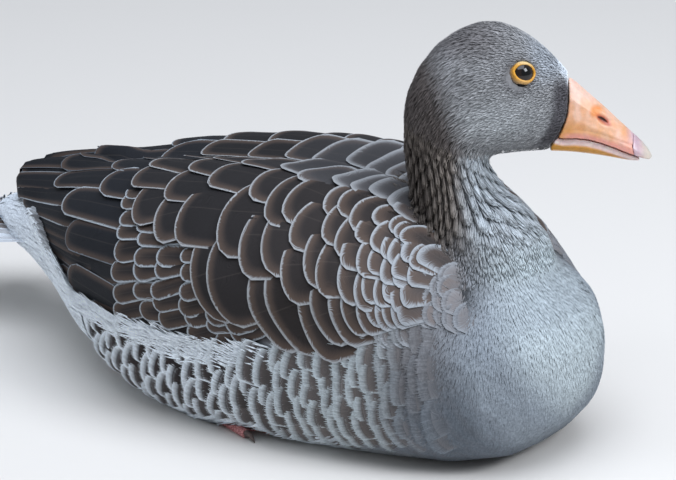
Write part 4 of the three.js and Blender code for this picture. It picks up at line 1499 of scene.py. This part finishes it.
def bill_pieces():
    """The bill's halves and its nail, parted along the gape, with a nostril on each side."""
    whole = keep_largest(remeshed(copy_of("bill", ["bill_upper", "bill_nail", "bill_lower"], 0.3), 0.5, 3))
    # Each cutter follows a parting line, and then runs far round the outside of its own half.
    rim = [(along, height - 0.9) for along, height in GAPE[:-2]]
    over = prism("over", GAPE + [(130, 154), (130, 230), (48, 230)])
    under = prism("under", rim + [(103, 157), (103, 130), (48, 130)])
    rear = prism("rear", NAIL_LINE + [(40, 140), (40, 220), (99.4, 220)])
    front = prism("front", [(along + 0.12, height) for along, height in NAIL_LINE] + [(130, 140), (130, 180)])
    horn = horn_finish("bill_horn", 0.42, 0.15, 0.9)
    nail_horn = horn_finish("nail_horn", 0.3, 0.35, 1.4)
    for name, cutters, look, material, slot, replaced in (
        ("upper_bill", (over, rear), upper_bill, horn, "bill_horn", "bill_upper"),
        ("lower_bill", (under,), lower_bill, horn, "bill_horn", "bill_lower"),
        ("nail", (over, front), bill_nail, nail_horn, "nail_horn", "bill_nail"),
    ):
        made = remeshed(cut(name, whole, *cutters), 0.42, 2)
        points, normals = vertices_of(made.data), normals_of(made.data)
        tint, dent = look(points)
        if look is lower_bill:
            points = tucked(points)
        place_vertices(made.data, points + normals * (dent * MM)[:, None])
        made.data.update()
        store(made.data, "tint", tint)
        made.data.shade_smooth()
        finished(made, material, slot, replaced)
    for made in (whole, over, under, rear, front):
        bpy.data.objects.remove(made)


# ---- Eyes and feet --------------------------------------------------------------------------------

EYE_RADIUS = 7.2
LID_INNER = (5.4, 4.05)
LID_OUTER = (6.9, 5.9)


def eye_finish():
    """A dark brown eye under a clear wet cornea, with the black pupil at its middle."""
    eye = Finish("wet_eye", Roughness=0.05, Specular_IOR_Level=0.5)
    off = eye.add("Attribute", attribute_name="off_axis").outputs["Fac"]
    rays = eye.add("TexNoise", eye.sized(0.5, Detail=2.0))
    brown = eye.add("Mix", {SHARE: rays, UNDER: "#120a07", OVER: "#24160e"}, **COLOURED)
    pupil = eye.add("MapRange", (off, 2.6, 2.9), **SMOOTH)
    colour = eye.add("Mix", {SHARE: pupil, UNDER: "#030303", OVER: brown}, **COLOURED)
    border = eye.add("MapRange", (off, 4.6, 5.4), **SMOOTH)
    return eye.done(eye.add("Mix", {SHARE: border, UNDER: colour, OVER: "#0c0807"}, **COLOURED))


def lid_finish():
    """Bare skin round the eye: bright orange yellow, paler above, finely beaded."""
    lid = Finish("orange_lid_skin", Roughness=0.5, Specular_IOR_Level=0.4)
    beads = lid.add("TexNoise", lid.sized(0.6, Detail=1.0))
    return lid.done(lid.tinted(beads, 0.3, 0.7, 0.8, 1.15), beads, 0.5)


def leg_finish():
    """Pink webbed foot: soft wet-looking skin in small scales, darker between them."""
    leg = Finish("scaly_leg_skin", Roughness=0.5, Specular_IOR_Level=0.45, Subsurface_Weight=0.08,
                 Subsurface_Scale=0.002)
    cells = leg.add("TexVoronoi", leg.sized(1.8), feature="DISTANCE_TO_EDGE")
    plates = leg.add("MapRange", (cells, 0.02, 0.16), **SMOOTH)
    patches = leg.add("TexNoise", leg.sized(6, Detail=2.0))
    pink = leg.add("Mix", {SHARE: patches, UNDER: "#c98183", OVER: "#dba39b"}, **COLOURED)
    colour = leg.add("Mix", {SHARE: plates, UNDER: "#9c5559", OVER: pink}, **COLOURED)
    return leg.done(colour, plates, 0.6, 0.4)


def claw_finish():
    """Dark horn claws, streaked along, paler and worn at the tip."""
    claw = Finish("claw_horn", Roughness=0.38, Specular_IOR_Level=0.5)
    streaks = claw.add("TexNoise", claw.sized(1.2, Detail=3.0))
    return claw.done(claw.add("Mix", {SHARE: streaks, UNDER: "#2b211f", OVER: "#6a5750"}, **COLOURED))


def eye_axes(name, side):
    """An eye's middle, the way it faces, the way forward along its lids, and up."""
    middle = np.mean(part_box(name), axis=0)
    _, normal = surface.nearest(middle[None])
    outward = from_head(0, side, 0) - from_head(0, 0, 0)
    facing = unit(0.6 * unit(outward) + 0.4 * normal[0])
    forward = unit(flattened(np.array([COS_TURN, SIN_TURN, -0.10]), facing))
    up = np.cross(facing, forward)
    return middle, facing, forward, up * np.sign(up[2])


def eyeball(name, middle, facing, material):
    work = bmesh.new()
    bmesh.ops.create_uvsphere(work, u_segments=48, v_segments=28, radius=EYE_RADIUS * MM)
    bmesh.ops.translate(work, verts=work.verts, vec=middle)
    mesh = mesh_of(f"{name}_ball", work)
    off = vertices_of(mesh) - middle
    height = off @ facing
    radial = np.linalg.norm(off - height[:, None] * facing, axis=1) / MM
    store(mesh, "off_axis", np.where(height > 0, radial, 9))
    mesh.shade_smooth()
    finished(object_of(f"{name}_ball", mesh), material, "eye", name)


def lid_ring(name, middle, facing, forward, up, material):
    """Both lids as one ring, an oval drawn out to corners before and behind."""
    work = bmesh.new()
    bmesh.ops.create_grid(work, x_segments=56, y_segments=8, size=1)
    foot_rise = math.sqrt(EYE_RADIUS**2 - 25) + 0.15
    for corner in work.verts:
        turn = math.pi * (corner.co.x + 1)
        share = (corner.co.y + 1) / 2
        foot = 8 * max(share - 0.875, 0)
        width, height = (a + (b - a) * share + foot for a, b in zip(LID_INNER, LID_OUTER))
        x = width * math.cos(turn)
        y = height * math.sin(turn) * (1 - 0.16 * math.cos(turn) ** 6)
        ball = math.sqrt(max(EYE_RADIUS**2 - x * x - y * y, 0)) - 0.25
        crown = 0.75 * math.sin(math.pi * min(share * 1.1, 1)) ** 0.8
        brow = 0.45 * max(math.sin(turn), 0) * (1 - share)
        rise = ball * (1 - share) + foot_rise * share + crown + brow - 5.5 * max(share - 0.8, 0) - 2.4 * foot
        corner.co = Vector(middle + (forward * x + up * y + facing * rise) * MM)
    bmesh.ops.remove_doubles(work, verts=work.verts, dist=0.02 * MM)
    bmesh.ops.recalc_face_normals(work, faces=work.faces)
    if sum((face.normal for face in work.faces), Vector()).dot(Vector(facing)) < 0:
        bmesh.ops.reverse_faces(work, faces=work.faces)
    mesh = mesh_of(name, work)
    off = (vertices_of(mesh) - middle) / MM
    tint = painted(
        "#d2962f",
        ("#dac694", 0.75 * step(off @ up, 2.5, 5.6)),
        ("#d9b47c", 0.6 * step(off @ up, -3.2, -5.6)),
        (0.5 * TINT["face"], step(off @ facing, 3.6, 2.6)),
    )
    store(mesh, "tint", tint)
    mesh.shade_smooth()
    mesh.materials.append(material)
    return object_of(name, mesh)


def eye_pieces():
    """The eyeballs, and the rings of their lids, which are given back."""
    wet = eye_finish()
    lid_skin = lid_finish()
    lids = []
    for side_name, side in SIDES.items():
        name = f"eye_{side_name}"
        middle, facing, forward, up = eye_axes(name, side)
        eyeball(name, middle, facing, wet)
        lids.append(lid_ring(f"lid_{side_name}", middle, facing, forward, up, lid_skin))
    return lids


def feet_pieces():
    """The claws, and the legs, finer than their solids, which are given back."""
    leg_skin = leg_finish()
    horn = claw_finish()
    both = []
    for side_name in SIDES:
        solids = copy_of(f"leg_{side_name}", [f"shank_{side_name}", f"foot_{side_name}"], 0.3)
        legs = remeshed(solids, 0.9, 2)
        legs.data.shade_smooth()
        legs.data.materials.append(leg_skin)
        both.append(legs)
        for toe in ("outer", "middle", "inner", "hind"):
            name = f"claw_{toe}_{side_name}"
            claw = remeshed(copy_of(f"{name}_horn", [name], 0.1), 0.35, 2)
            claw.data.shade_smooth()
            finished(claw, horn, "claw_horn", name)
    return both


def join_skin(parts):
    """Makes the lids and the legs one piece with the skin, each keeping its own material."""
    with bpy.context.temp_override(active_object=skin, selected_editable_objects=[skin, *parts]):
        bpy.ops.object.join()
    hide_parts(*LIMBS)


def floor():
    """A plain pale floor."""
    work = bmesh.new()
    bmesh.ops.create_grid(work, x_segments=1, y_segments=1, size=6)
    mesh = mesh_of("floor", work)
    mesh.materials.append(Finish("studio_paper", Base_Color="#d9d6d1", Roughness=0.9).material)
    return object_of("floor", mesh)


bill_pieces()
join_skin(eye_pieces() + feet_pieces())
bpy.data.objects.remove(outline)
floor()
